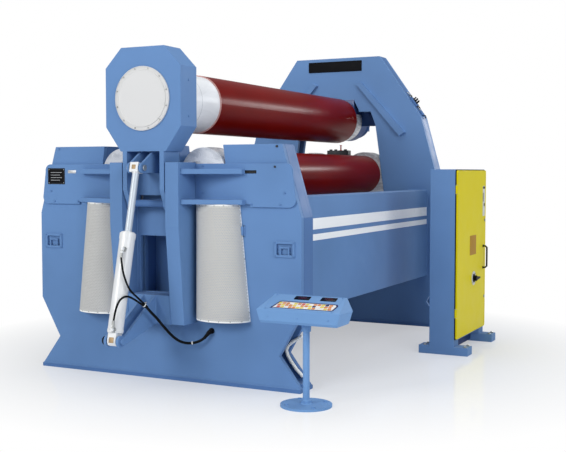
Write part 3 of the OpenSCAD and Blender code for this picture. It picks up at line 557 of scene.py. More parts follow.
    def bead(self, a, b, n1, n2, r=0.006, seed=1):
        """A weld bead along a corner from a to b; n1 and n2 are the two faces' outward directions."""
        a, b, n1, n2 = Vector(a), Vector(b), Vector(n1), Vector(n2)
        count = max(3, int((b - a).length / BEAD_STEP))
        rnd = random.Random(seed)
        rows = []
        for i in range(count + 1):
            p = a.lerp(b, i / count)
            k = r * (0.86 + 0.2 * (i % 2) + 0.16 * rnd.random())
            rows.append(self.verts((p + n1 * k, p + (n1 + n2) * k * 0.62,
                                    p + n2 * k, p - (n1 + n2) * 0.0008)))
        self.skin(rows)


# ---- hoses


def even(line, count):
    """Points at even spacing along a line."""
    run = list(accumulate(((b - a).length for a, b in zip(line, line[1:])), initial=0.0))
    out = []
    for i in range(count):
        want = run[-1] * i / (count - 1)
        k = max(bisect_left(run, want, hi=len(run) - 1) - 1, 0)
        out.append(line[k].lerp(line[k + 1], (want - run[k]) / max(run[k + 1] - run[k], 1e-9)))
    return out


def smooth_route(points, spare, rounds=4):
    """Points on a smooth curve through the route, with its kinks eased and its ends kept."""
    pts = [Vector(p) * MM for p in points]
    fine = []
    for p0, p1, p2, p3 in zip(pts[:1] + pts, pts, pts[1:], pts[2:] + pts[-1:]):
        for t in (k / 12 for k in range(12)):
            bend = 2 * p0 - 5 * p1 + 4 * p2 - p3, 3 * p1 - p0 - 3 * p2 + p3
            fine.append(0.5 * (2 * p1 + (p2 - p0) * t + bend[0] * t * t + bend[1] * t ** 3))
    line = even(fine + pts[-1:], 49)
    for _ in range(rounds):
        eased = [(a + 2 * b + c) / 4 for a, b, c in zip(line[1:], line[2:], line[3:])]
        line = line[:2] + eased[:len(line) - 4] + line[-2:]
    return even(line, spare)


def hose(name, route, r, body, replaced, spare=24):
    """A hydraulic hose as one open curve of round section, with its points and its centreline's length."""
    line = smooth_route(route, spare)
    data = bpy.data.curves.new(name, "CURVE")
    data.dimensions = "3D"
    data.bevel_depth = r
    data.bevel_resolution = 5
    data.resolution_u = 6
    data.use_fill_caps = True
    spline = data.splines.new("BEZIER")
    spline.bezier_points.add(len(line) - 1)
    for b, p in zip(spline.bezier_points, line):
        b.co = p
        b.handle_left_type = b.handle_right_type = "AUTO"
    data.materials.append(M["rubber"])
    obj = bpy.data.objects.new(name, data)
    SCENE.collection.objects.link(obj)
    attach(obj, body)
    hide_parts(replaced)
    return obj, line, sum((b - a).length for a, b in zip(line, line[1:]))


UPPER_ROUTE = [
    (24, -595.2, 1083.6), (24, -604, 1046.6), (38.6, -613.3, 987.6), (57, -622.5, 930.9), (79.8, -623.4, 871),
    (101.1, -610, 813.4), (112, -573, 773), (111, -523, 741), (114.5, -488.1, 715.5), (123, -457.7, 688.8),
]
LOWER_ROUTE = [
    (29, -722.2, 547.2), (29, -713.9, 582.2), (34.3, -708, 627.7), (43.6, -702.1, 669.7), (51.6, -687.9, 709.8),
    (58.9, -660.4, 739.6), (69.8, -622.2, 754.9), (80.5, -578.9, 748), (97, -540, 725), (111.5, -501, 698),
    (123, -468.5, 675.7),
]
BUNDLE_ROUTE = [
    (123.5, -461.6, 681), (134.2, -428.3, 653.4), (133.1, -370.4, 606.6), (137.2, -297.6, 552.4),
    (161.7, -228.5, 471.6), (205.1, -166, 388.4), (259.2, -120.1, 341.3), (329.6, -83.5, 333.2),
    (386.5, -62, 350.7), (420.2, -49.1, 372.9), (445.1, -38.7, 404.5),
]
LOW_TIE = Vector(BUNDLE_ROUTE[7]) * MM
HOSE_R, BUNDLE_R = 0.008, 0.011


def ferrule(name, line):
    """Crimped sleeve with its nut at a hose's upper end."""
    p = Piece(name, "zinc", "tilt_barrel")
    r = HOSE_R / MM
    ribs = [(r * k, h - 12 + i * 9) for i in range(5) for k, h in ((1.42, 0), (1.42, 5), (1.3, 6), (1.3, 8))]
    way = line[1] - line[0]
    p.turned([(r * 0.6, -12), *ribs, (r * 1.2, 34), (r * 0.9, 35)], line[0], way, 20)
    nut = [(r, -24), (r * 1.75, -24), (r * 1.85, -22), (r * 1.85, -14), (r * 1.7, -12), (r, -12)]
    p.turned(nut, line[0], way, 6)
    return p.done()


def tie(name, at, way, r, turn):
    """Cable tie with its lock and cut tail."""
    p = Piece(name, "tie")
    band = r / MM
    p.turned([(band * 0.9, -4.5), (band + 1.3, -4.5), (band + 1.8, 0),
              (band + 1.3, 4.5), (band * 0.9, 4.5)], at, way, 28)
    m = frame_at(at, way) @ Matrix.Rotation(turn, 4, "Z")
    p.box((r - 0.001, -0.005, -0.005), (r + 0.007, 0.005, 0.005), 0.001, m)
    p.box((r + 0.004, 0.004, -0.0025), (r + 0.0056, 0.024, 0.0025), 0.0005, m)
    return p.done()


def make_hoses():
    """Two hoses from the tilt cylinder that join into one sheathed run to the gland on the frame."""
    upper, up_line, up_length = hose("tilt_hose_upper", UPPER_ROUTE, HOSE_R, "tilt_barrel", "hose_upper")
    lower, low_line, low_length = hose("tilt_hose_lower", LOWER_ROUTE, HOSE_R, "tilt_barrel", "hose_lower")
    run, run_line, run_length = hose("tilt_hose_run", BUNDLE_ROUTE[::-1], BUNDLE_R,
                                     "frame", "hose_bundle", 32)
    upper_end = ferrule("hose_ferrule_upper", up_line)
    lower_end = ferrule("hose_ferrule_lower", low_line)

    last = run_line[-1]
    way = (run_line[-2] - last).normalized()
    p = Piece("hose_join_boot", "rubber")
    p.turned([(9, -4), (15.2, -2), (16, 6), (14.8, 24), (12.8, 40), (11.2, 48), (10.5, 48)], last, way)
    boot = p.done()
    first = tie("hose_tie_upper", last + way * 0.012, way, 0.016, 1.2)
    k = min(range(len(run_line)), key=lambda i: (run_line[i] - LOW_TIE).length)
    second = tie("hose_tie_lower", run_line[k], run_line[k + 1] - run_line[k - 1], BUNDLE_R, 2.6)

    p = Piece("gland_nuts", "black")
    mouth, out = Vector((0.466, -0.03, 0.431)), Vector((-0.6, -0.25, -0.76)).normalized()
    p.turned([(14.5, 4), (19.5, 4), (20.5, 6), (20.5, 16), (19.2, 18), (14.5, 18)], mouth, out, 6)
    p.turned([(14.8, 20), (16.5, 21.5), (16.5, 30), (14.5, 34.5), (11, 35)], mouth, out)
    p.turned([(14, -10), (23.5, -10), (24.5, -8), (24.5, 0), (23, 2), (14, 2)],
             (0.466, -0.0165, 0.431), FRONT, 6)
    nut = p.done()
    p = Piece("gland_bend_relief", "rubber")
    sleeve = [(14.8, -2), (14.5, 4), (13.8, 12), (13, 22), (12.2, 32), (11.3, 40), (10.8, 40)]
    p.turned(sleeve, run_line[0], (run_line[1] - run_line[0]).normalized())
    relief = p.done()


make_hoses()

# ---- drop end

LOWER_PIN = Vector((0, -0.671, 0.416))
LEAN_COS, LEAN_SIN = 0.97311, 0.23036
LEAN = Matrix(((1, 0, 0), (0, LEAN_COS, LEAN_SIN), (0, -LEAN_SIN, LEAN_COS)))


def tilt(x, across, along):
    """A point in the tilt cylinder's own axes: along it from the lower pin, and across it to the frame."""
    return LOWER_PIN + LEAN @ Vector((x, across, along))


def make_head():
    """Cap screws, grease points and pin retainers of the tilting bearing head."""
    p = Piece("head_cap_screws", "zinc", "drop_end")
    for x, z in circle(12, 0.2385):
        p.socket_bolt((x, -0.2835, TOP_ROLL_Z + z), FRONT, 6)
    p = Piece("head_cap_rims", "white", "drop_end")
    inner = [(220.5, 0), (224.5, 0.6), (224.5, 2.2), (220.5, 3), (216.5, 2.2), (216.5, 0)]
    p.turned(inner, (0, -0.2868, TOP_ROLL_Z), FRONT, 96)
    outer = [(246.5, 0), (252.5, 0), (253, 1), (250, 3.4), (246.5, 3.4)]
    p.turned(outer, (0, -0.2828, TOP_ROLL_Z), FRONT, 96)
    grease = Piece("head_grease_points", "blue", "drop_end")
    pins = Piece("head_pin_retainers", "zinc", "drop_end")
    welds = Piece("head_welds", "blue", "drop_end")
    nipple = [(10, 0), (10, 2), (8, 4), (4.5, 5), (0, 5.5)]
    pin = [(0, 0), (15.5, 0), (15.5, 3), (22, 3), (23, 4.5), (23, 8), (21.5, 9.8), (6, 10.5), (0, 9.5)]
    seed = 3
    for side, _ in SIDES:
        out = RIGHT * side
        for z in (2.14, 2.42):
            grease.turned(nipple, (side * 0.354, -0.15, z), out, 16)
        pins.turned(pin, (side * 0.0738, -0.359, 1.734), out, 28)
        for x, way in ((0.046, -out), (0.066, out)):
            seed += 1
            welds.bead((side * x, -0.112, 1.706), (side * x, -0.112, 1.86), way, FRONT, 0.005, seed)
        welds.bead((side * 0.195, -0.262, 1.868), (side * 0.195, -0.066, 1.868), out, -UP, 0.006, seed + 20)


def make_tilt_cylinder():
    """Pins, bushes, gland rings and port nuts of the tilt cylinder."""
    out, along, upwards = LEAN @ FRONT, LEAN @ UP, (0, 0.23, 0.97)
    p = Piece("lower_pin_bush", "brass", "tilt_barrel")
    p.plate(0.042, 0.042, 0.004, frame_at(tilt(0, -0.0375, 0.004), out, upwards), 0.004, 0.001)
    for side, _ in SIDES:
        p.ring(20.4, 29, 2.5, tilt(side * 0.0378, 0, 0), RIGHT * side, 32)
    p = Piece("rod_eye_bush", "brass", "tilt_rod")
    p.plate(0.034, 0.034, 0.005, frame_at(tilt(0, -0.0375, 1.3544), out, upwards), 0.0035, 0.001)

    p = Piece("lower_pin_head", "black")
    head = [(0, 0), (30, 0), (33, 2), (33, 11.5), (30, 15), (12, 16.5), (0, 16.5)]
    p.turned(head, LOWER_PIN - RIGHT * 0.0775, -RIGHT, 32)
    p = Piece("lower_pin_washer", "blue")
    washer = [(0, 0), (19.5, 0), (19.5, 4), (24, 4), (25, 5), (25, 9), (23, 10), (0, 10)]
    p.turned(washer, LOWER_PIN + RIGHT * 0.0775, RIGHT, 32)

    p = Piece("tilt_barrel_rings", "barrel", "tilt_barrel")
    gland = [(27.6, 833), (52, 833), (54, 835), (54, 840), (50, 843), (36, 844), (33, 846.5), (27.6, 846.5)]
    for s in (800, 811, 822):
        p.turned([(60, s - 1.8), (64, s - 1.2), (64, s + 1.2), (60, s + 1.8)], LOWER_PIN, along, 64)
    for profile in (gland, [(59.8, 70), (62.2, 74), (62.2, 88), (59.8, 92)]):
        p.turned(profile, LOWER_PIN, along, 64)
    p = Piece("port_nuts", "zinc", "tilt_barrel")
    for s in (0.083, 0.7):
        foot = tilt(0.024, -0.052, s)
        p.turned([(12.5, 0), (21, 0), (22, 1.5), (22, 12), (20, 14), (12.5, 14)], foot, out, 6)
        p.turned([(12.5, 14), (16.5, 14), (16.5, 19), (12.5, 20)], foot, out, 20)
    p = Piece("cylinder_blank_tag", "silver_film", "tilt_barrel")
    p.box((-0.046, -0.014, 0.56), (-0.058, 0.014, 0.65), 0.002, Matrix.Translation(LOWER_PIN) @ LEAN.to_4x4())


# ---- guards

GUARD_LOW, GUARD_HIGH = 0.5275, 1.4485
# half width and depth of a guard at its foot, and how much less they are at its top
GUARD_FOOT, GUARD_TAPER = (0.236, 0.17), (-0.046, -0.03)


ARC_STEPS = 360


def arc_runs():
    """Lengths along the guard's half ellipse, at even steps of its angle."""
    angles = [math.pi * i / ARC_STEPS for i in range(ARC_STEPS + 1)]
    spots = [(0.213 * math.cos(a), 0.155 * math.sin(a)) for a in angles]
    return list(accumulate(map(math.dist, spots, spots[1:]), initial=0.0))


ARC_RUNS = arc_runs()
ARC = ARC_RUNS[-1]


def arc_angle(run):
    """The angle at which the guard's arc has run a given length."""
    run = min(max(run, 0.0), ARC)
    k = min(bisect_right(ARC_RUNS, run), ARC_STEPS)
    before, after = ARC_RUNS[k - 1:k + 1]
    return math.pi * (k - 1 + (run - before) / (after - before)) / ARC_STEPS


def guard_point(side, run, z, out=0.0):
    """A point on the outside of a guard: run along its arc from the post, at height z."""
    t = (z - 0.527) / 0.922
    half, deep = (foot + less * t + out for foot, less in zip(GUARD_FOOT, GUARD_TAPER))
    a = arc_angle(run)
    return Vector((side * (0.345 + half - out - half * math.cos(a)), -deep * math.sin(a), z))


def make_guard(side, word):
    """Rolled perforated sheet in a plain trim, which stands for the CAD guard."""
    pitch, hole, edge = 0.0142, 0.0022, 0.012
    rise, far = pitch * math.sqrt(3) / 2, pitch / math.sqrt(3)
    low_z, high_z = 0.54, 1.438
    turn = [math.radians(30 + 60 * k) for k in range(6)]
    sheet = Piece("guard_sheet_" + word, "cream", sharp=60.0)
    shared = {}

    def corner(run, z):
        key = (round(run * 2e4), round(z * 2e4))
        if key not in shared:
            shared[key] = sheet.bm.verts.new(guard_point(side, run, z))
        return shared[key]

    for j in range(int((high_z - low_z) / rise)):
        z = low_z + (j + 0.5) * rise
        for i in range(int((ARC - 2 * edge) / pitch)):
            run = edge + pitch * (i + 0.5) + (j % 2) * pitch / 2
            if run > ARC - edge:
                continue
            outer = [corner(run + far * math.cos(a), z + far * math.sin(a)) for a in turn]
            inner = sheet.verts(guard_point(side, run + hole * math.cos(a), z + hole * math.sin(a))
                                for a in turn)
            for k in range(6):
                n = (k + 1) % 6
                sheet.bm.faces.new((outer[k], outer[n], inner[n], inner[k]))
    obj = sheet.done()
    solid = obj.modifiers.new("thickness", "SOLIDIFY")
    solid.thickness = 0.002
    solid.offset = 1.0
    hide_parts("guard_" + word)

    trim = Piece("guard_trim_" + word, "trim", sharp=40.0)
    steps = [ARC * i / 48 for i in range(49)]
    heights = [GUARD_LOW + (GUARD_HIGH - GUARD_LOW) * i / 24 for i in range(25)]
    for low, high in ((GUARD_LOW, 0.552), (1.428, GUARD_HIGH)):
        ends = ((low, 0.0016), (high, 0.0016), (high, -0.006), (low, -0.006))
        trim.skin([trim.verts(guard_point(side, r, z, out) for z, out in ends) for r in steps])
    for low, high in ((0.0, 0.02), (ARC - 0.026, ARC)):
        ends = ((low, 0.0016), (high, 0.0016), (high, -0.006), (low, -0.006))
        trim.skin([trim.verts(guard_point(side, r, z, out) for r, out in ends) for z in heights])

    rivets = Piece("guard_rivets_" + word, "zinc")
    places = [(run, z) for z in (0.6, 1.02, 1.38) for run in (0.01, ARC - 0.01)]
    big = [(0, 0), (6.5, 0), (6.2, 1.6), (4, 3.4), (0, 3.6)]
    small = [(0, 0), (5.5, 0), (5.2, 1.4), (3.4, 2.8), (0, 3)]
    rim = [(ARC * k / 7, z) for k in range(1, 7) for z in (0.538, 1.438)]
    for profile, spots, count in ((big, places, 14), (small, rim, 12)):
        for run, z in spots:
            foot = guard_point(side, run, z, 0.0018)
            rivets.turned(profile, foot, guard_point(side, run, z, 0.0118) - foot, count)

    latch = Piece("guard_latch_" + word, "blue")
    screws = Piece("guard_latch_screws_" + word, "dark_steel")
    x, z = side * 0.744, 1.24
    latch.plate(0.052, 0.096, 0.006, frame_at((x + side * 0.006, -0.0002, z), FRONT, UP), 0.005, 0.001)
    latch.box((x - 0.014, -0.004, z - 0.034), (x + 0.018, -0.022, z + 0.034), 0.003)
    latch.tube([(x - 0.01, y, z + h) for y, h in ((-0.026, -0.02), (-0.031, 0), (-0.026, 0.02))], 0.0035)
    for h in (-0.041, 0.041):
        screws.socket_bolt((x + side * 0.02, -0.005, z + h), FRONT, 4.5)


# ---- near frame

COVER_Y = -0.0202
WAIST_LINE = (
    (1.196, 0.418), (1.15, 0.392), (1.106, 0.368), (1.07, 0.336), (1.054, 0.3), (1.064, 0.262),
    (1.092, 0.216), (1.144, 0.152), (1.2, 0.1),
)
BRACE = ((0.245, 2.686), (0.293, 2.713), (0.818, 2.139), (0.755, 2.101))


def bare_plate(name, x, z, w, h, finish, thick, border=False, rivets=False):
    """A bare plate on the drop-end frame's cover, with a raised plain border or rivets."""
    matrix = frame_at((x, COVER_Y, z), FRONT, UP)
    Piece(name, finish).plate(w, h, 0.004, matrix, thick, 0.0004)
    if border:
        rim = Piece(name + "_border", "dark_steel")
        rim.border(w / 2 - 0.005, h / 2 - 0.005, 0.0035, thick - 0.0002, thick + 0.0005, matrix)
    if rivets:
        heads = Piece(name + "_rivets", "zinc")
        for u, v in corners(w / 2 - 0.012, h / 2 - 0.012):
            heads.turned([(4.2, 0), (4, 1), (2.6, 2.1), (0, 2.5)], matrix @ Vector((u, v, thick)), FRONT, 14)
    return matrix


def make_near_frame():
    """Plates, screws, weld beads and pockets' liners of the drop-end frame, and a painted highlight along its
    waist's edges.
    """
    data_plate = bare_plate("data_plate", -1.0715, 1.6655, 0.183, 0.137, "plate_black", 0.0016, True, True)
    bare_plate("adjust_label", -0.9035, 1.704, 0.085, 0.026, "silver_film", 0.0008)
    bare_plate("setting_label", 0.812, 1.7025, 0.14, 0.025, "plate_black", 0.001, True)
    p = Piece("data_plate_rules", "grey")
    for k in range(4):
        v = 0.022 * k
        p.box((-0.06, 0.03 - v, 0.0015), (0.06 - 0.02 * (k % 2), 0.034 - v, 0.0019), 0.0002, data_plate)

    p = Piece("plate_screws", "dark_steel")
    p.socket_bolt((1.051, -0.0002, 1.899), FRONT, 9.5)
    p.socket_bolt((1.044, COVER_Y, 1.742), FRONT, 8.5)
    screws, welds, pockets = (Piece(name, "blue") for name in ("cover_screws", "front_welds", "pocket_screws"))
    screws.socket_bolt((-1.051, -0.0002, 1.899), FRONT, 8.5)
    seed = 30
    for side, word in SIDES:
        out = RIGHT * side
        for x, z in ((0.4, 1.752), (0.4, 1.54), (1.128, 1.54), (1.09, 1.45), (0.84, 1.45)):
            screws.socket_bolt((side * x, COVER_Y, z), FRONT, 7.5)
        post = side * 0.3265
        for z, up in ((1.487, UP), (1.724, UP), (1.686, -UP), (1.449, -UP)):
            seed += 1
            welds.bead((side * 0.328, -0.0205, z), (side * 0.779, -0.0205, z), FRONT, up, 0.0055, seed)
            welds.bead((post, -0.022, z), (post, -0.236, z), out, up, 0.0055, seed + 9)
        for x, y, low, high, way, r, more in (
            (0.204, -0.0605, 0.722, 1.4, -out, 0.006, 31), (0.204, -0.2005, 0.492, 0.716, -out, 0.005, 41),
            (0.046, -0.2005, 0.496, 0.714, -out, 0.0055, 51), (0.066, -0.2005, 0.496, 0.714, out, 0.0055, 51),
            (0.3265, -0.0005, 0.492, 1.446, out, 0.006, 61),
        ):
            welds.bead((side * x, y, low), (side * x, y, high), way, FRONT, r, seed + more)

        x = side * POCKET_X
        for u, v in corners(0.078, 0.052):
            pockets.socket_bolt((x + u, -0.0121, POCKET_Z + v), FRONT, 5.2)
        p = Piece("pocket_liner_" + word, "blue")
        p.box((x - 0.0665, 0.0085, POCKET_Z - 0.0405), (x + 0.0665, 0.0115, POCKET_Z + 0.0405), 0.0004)
        turns = [math.pi * k / 12 for k in range(13)]
        p.tube([(x + 0.03 * math.cos(a), 0.004, 1.1 + 0.028 * math.sin(a)) for a in turns], 0.004)
        # painted highlight: a white tube along the rear plate's waist edge stands for the light along that edge
        p = Piece("waist_edge_highlight_" + word, "trim", sharp=60.0)
        p.tube([(side * x, 0.154, z) for x, z in WAIST_LINE], 0.0145, 12)
    welds.bead((-1.25, -0.0005, 0.0302), (1.25, -0.0005, 0.0302), FRONT, UP, 0.007, 97)
    welds.bead((-0.165, -0.0352, 0.7195), (0.165, -0.0352, 0.7195), BACK, UP, 0.004, 98)


def make_beams():
    """White stripes, and the welds of the beams' joints and of the yoke's braces."""
    for side, word in SIDES:
        x = side * 1.0712
        face = x + side * 0.0009
        for low, high, tag in ((1.226, 1.319, "upper"), (1.134, 1.187, "lower")):
            p = Piece(f"beam_stripe_{tag}_{word}", "stripe")
            section = ((x, low), (face, low + 0.0008), (face, high - 0.0008), (x, high))
            p.skin([p.verts((u, 0.2125 + 3.378 * i / 24, z) for u, z in section) for i in range(25)])
    p = Piece("beam_and_brace_welds", "blue")
    ends = tuple(zip(BEAM_ENDS, (BACK, FRONT)))
    for side, _ in SIDES:
        out = RIGHT * side
        for k, (y, way) in enumerate(ends):
            p.bead((side * BEAM_X, y, 0.566), (side * BEAM_X, y, 1.5), out, way, 0.007, 5 + 3 * k + side)
        for k, (y, way) in enumerate(ends):
            p.bead((side * 1.069, y, 1.5035), (side * 0.855, y, 1.5035), way, UP, 0.006, 11 + 3 * k + side)
        for i in range(1, 5):
            y = 0.21 + i * 3.383 / 5
            for rib_y, way in ((y, FRONT), (y + 0.025, BACK)):
                p.bead((side * 1.0305, rib_y, 0.606), (side * 1.0305, rib_y, 1.46), -out, way, 0.005, 20 + i)
    for side, _ in SIDES:
        brace = [Vector((side * x, 3.5925, z)) for x, z in BRACE]
        middle = sum(brace, Vector()) / 4
        for k, (a, b) in enumerate(zip(brace, brace[1:] + brace[:1])):
            along = (b - a).normalized()
            out = along.cross(BACK).normalized()
            if out.dot(a - middle) < 0:
                out = -out
            p.bead(a + along * 0.004, b - along * 0.004, out, FRONT, 0.007, 40 + k)


# ---- yoke and drives

# the yoke's slanted upper right edge: its start, and its directions along and outwards
SLANT_START, SLANT = Vector((0.507, 3.7, 2.99)), Vector((0.5803, 0, -0.8144))
SLANT_OUT = Vector((0.8144, 0, 0.5803))


def on_slant(run, y=3.7):
    p = SLANT_START + SLANT * run
    return Matrix.Translation((p.x, y, p.z)) @ Matrix((SLANT, BACK, SLANT_OUT)).transposed().to_4x4()


def make_yoke():
    """Bare name plate, lubrication blocks with their fittings, and the limit switch."""
    plate = frame_at((-0.03, 3.5928, 2.896), FRONT, UP)
    Piece("yoke_name_plate", "plate_black").plate(0.654, 0.118, 0.006, plate, 0.004, 0.0008)
    p = Piece("yoke_name_plate_border", "plate_black")
    p.border(0.317, 0.049, 0.003, 0.0038, 0.0046, plate)
    for x, y in corners(0.3, 0.034):
        p.turned([(6, 0), (5.8, 1.4), (3.8, 3), (0, 3.4)], plate @ Vector((x, y, 0.004)), FRONT, 16)

    p = Piece("lubrication_blocks", "blue_inner")
    p.box((-0.055, -0.04, 0), (0.055, 0.04, 0.022), 0.003, on_slant(0.64))
    p.box((-0.03, -0.025, 0), (0.03, 0.025, 0.018), 0.003, on_slant(0.79))
    p = Piece("lubrication_fittings", "black")
    fitting = [(0, 0), (10.5, 0), (11, 1), (11, 10), (9.5, 12), (7.5, 13), (7.5, 26), (8.8, 27), (8.8, 36)]
    for run, y in ((0.612, 3.682), (0.64, 3.682), (0.668, 3.682), (0.626, 3.716), (0.654, 3.716)):
        foot = on_slant(run, y) @ Vector((0, 0, 0.0215))
        p.turned(fitting + [(6, 38), (0, 38)], foot, SLANT_OUT, 6)
    clip = ((-0.02, 0.004), (-0.014, 0.018), (0, 0.024), (0.014, 0.018), (0.02, 0.004))
    for run in (0.56, 0.72, 0.84):
        p.tube([on_slant(run) @ Vector((x, 0, z)) for x, z in clip], 0.0055)
    p = Piece("lubrication_pipes", "zinc")
    for pipe in (
        ((0.5, 0.004), (0.515, 0.011), (0.545, 0.013), (0.575, 0.013), (0.583, 0.012)),
        ((0.696, 0.014), (0.72, 0.013), (0.745, 0.013), (0.762, 0.013)),
    ):
        p.tube([on_slant(run) @ Vector((0, 0, h)) for run, h in pipe], 0.005)

    p = Piece("limit_switch_box", "dark_steel")
    p.box((-0.13, 3.602, 1.8806), (0.13, 3.69, 1.948), 0.006)
    for x in (-0.1, -0.04, 0.08):
        p.turned([(17, 0), (18, 1), (18, 12), (12, 14), (0, 14)], (x, 3.646, 1.9478), UP)
    plunger = [(14, 0), (14, 6), (7.5, 8), (7.5, 52), (13, 54), (13, 60), (0, 62)]
    Piece("limit_switch_plunger", "key_red").turned(plunger, (0.026, 3.64, 1.9478), UP, 18)


def add_drive(name, body, x, z, circles, cover, ports, fins):
    """Bolts, ports and cooling fins of a roll's drive, whose axis runs along Y at x, z."""
    bolts = Piece(name("bolts"), "zinc", body)
    if body == "frame":
        for u in (-0.35, -0.265, 0.265, 0.35):
            for v in (2.258, 2.352, 2.446):
                bolts.hex_bolt((u, 3.8332, v), BACK, 22)
    for count, r, y, d in circles:
        for u, v in circle(count, r):
            bolts.hex_bolt((x + u, y, z + v), BACK, d, False)
    half, y, r = cover
    for u, v in corners(half, half):
        bolts.socket_bolt((x + u, y, z + v), BACK, r)
    blanks = Piece(name("ports"), "black", body)
    half, y, port_z, profile = ports
    for u in (-half, half):
        blanks.turned(profile, (x + u, y, port_z), UP, 6)
    if body == "frame":
        lid = [(30, 0), (46, 0), (47, 1), (47, 6), (44, 8), (0, 9)]
        blanks.turned(lid, (x, 4.3572, z), BACK, 36)
    rings = Piece(name("fins"), "blue_inner", body)
    number, first, r, count = fins
    for k in range(number):
        y = first + 23.5 * k
        rings.turned([(r, y), (r + 8, y + 1.5), (r + 8, y + 7.5), (r, y + 9)], (x, 0, z), BACK, count)


def make_drives():
    """The top roll's drive on the yoke, and the side rolls' drives on their carriages."""
    port = [(0, 0), (20, 0), (21, 1), (21, 12), (14, 14), (14, 20), (0, 21)]
    add_drive(
        "top_drive_{}".format, "frame", 0.0, TOP_ROLL_Z, ((16, 0.1955, 3.9712, 14), (12, 0.1525, 4.1672, 14)),
        (0.066, 4.3632, 9), (0.034, 4.298, 2.3703, port), (7, 3985, 175.5, 72),
    )
    port = [(0, 0), (16, 0), (17, 1), (17, 10), (11, 12), (11, 17), (0, 18)]
    for side, word in SIDES:
        add_drive(
            f"side_drive_{{}}_{word}".format, word + "_carriage", side * SIDE_ROLL_X, SIDE_ROLL_Z,
            ((12, 0.1545, 3.9552, 12), (10, 0.1205, 4.1267, 12)),
            (0.052, 4.2982, 7.5), (0.028, 4.245, 1.7463, port), (6, 3968, 138.5, 64),
        )


# ---- cabinet and control stand


def on_door(y, z, out=0.0):
    return frame_at((DOOR_X + out, y, z), RIGHT, UP)


def make_door():
    """The cabinet door's fold, isolator, bare plates, handle's feet, locks and hinge caps."""
    middle_y, middle_z = DOOR_MIDDLE
    p = Piece("door_fold", "yellow", "cabinet_door")
    p.plate(0.99, 1.571, 0.022, frame_at((1.8585, middle_y, middle_z), RIGHT, UP), 0.0004, 0.0, 6)
    for y in (middle_y - 0.488, middle_y + 0.488):
        p.tube([(1.8662, y, z) for z in (0.17, 0.9, 1.694)], 0.0012, 6)
    for z in (0.1525, 1.7105):
        p.tube([(1.8662, y, z) for y in (2.09, middle_y, 3.042)], 0.0012, 6)

    switch_y, switch_z = 2.637, 0.668
    plate = Piece("isolator_plate", "pale", "cabinet_door")
    plate.ring(0, 68, 3.5, (DOOR_X, switch_y, switch_z), RIGHT, 48)
    p = Piece("isolator_plate_marks", "black", "cabinet_door")
    for y, z in corners(0.042, 0.042):
        p.socket_bolt((DOOR_X + 0.0034, switch_y + y, switch_z + z), RIGHT, 3.8)
    for k in range(12):
        turn = Matrix.Rotation(math.pi * k / 6, 4, "Z")
        p.box((0.04, -0.0012, 0), (0.046, 0.0012, 0.0006), 0.0002, on_door(switch_y, switch_z, 0.0034) @ turn)
    p = Piece("isolator_grip", "black", "cabinet_door")
    p.ring(35.5, 41.5, 5, (DOOR_X + 0.003, switch_y, switch_z), RIGHT, 48)
    for y, z in circle(18, 0.0252, 0):
        foot = Vector((DOOR_X + 0.0085, switch_y + y, switch_z + z))
        p.tube([foot, foot + RIGHT * 0.024], 0.0016, 6)
    pointer = [(0.03, -0.002), (0.104, -0.0012), (0.104, 0.0012), (0.03, 0.002)]
    p.prism(pointer, on_door(switch_y, switch_z, 0.038), 0.0008, 0.0002)

    p = Piece("bare_notice_plate", "amber", "cabinet_door")
    p.plate(0.22, 0.19, 0.004, on_door(2.605, 0.994), 0.001, 0.0003)
    p = Piece("bare_label_strip", "pale", "cabinet_door")
    p.plate(0.078, 0.3, 0.006, on_door(2.984, 1.412), 0.0012, 0.0003)
    p = Piece("label_blanks", "plate_black", "cabinet_door")
    for y, z, w, h in ((2.984, 1.546, 0.07, 0.022), (2.958, 1.45, 0.014, 0.09), (2.998, 1.375, 0.03, 0.03)):
        p.plate(w, h, 0.005, on_door(y, z, 0.0011), 0.0016, 0.0004)

    p = Piece("door_handle_feet", "black", "cabinet_door")
    for z in (0.745, 0.961):
        p.turned([(0, 0), (13, 0), (14, 1), (14, 5), (12, 7), (9, 7.5)], (DOOR_X, 2.97, z), RIGHT)
    grip = ((0.0408, 0.773), (0.0413, 0.853), (0.0408, 0.933))
    p.tube([(DOOR_X + x, 2.97, z) for x, z in grip], 0.0082, 14)
    p = Piece("door_quarter_locks", "zinc", "cabinet_door")
    for z in (1.22, 0.45):
        lock = [(0, 0), (14, 0), (14.5, 1), (14.5, 6), (12.5, 8), (4, 8), (4, 5), (0, 5)]
        p.turned(lock, (DOOR_X, 3.02, z), RIGHT)
    p = Piece("door_hinge_caps", "zinc", "cabinet_door")
    for z in (0.35, 1.5):
        p.box((1.8455, 2.0672, z - 0.006), (1.849, 2.0702, z + 0.086), 0.0005)
        for h in (-0.003, 0.0805):
            p.turned([(0, 0), (9.8, 0), (9.8, 1.5), (8, 3), (0, 3)], (1.857, 2.066, z + h), UP, 20)


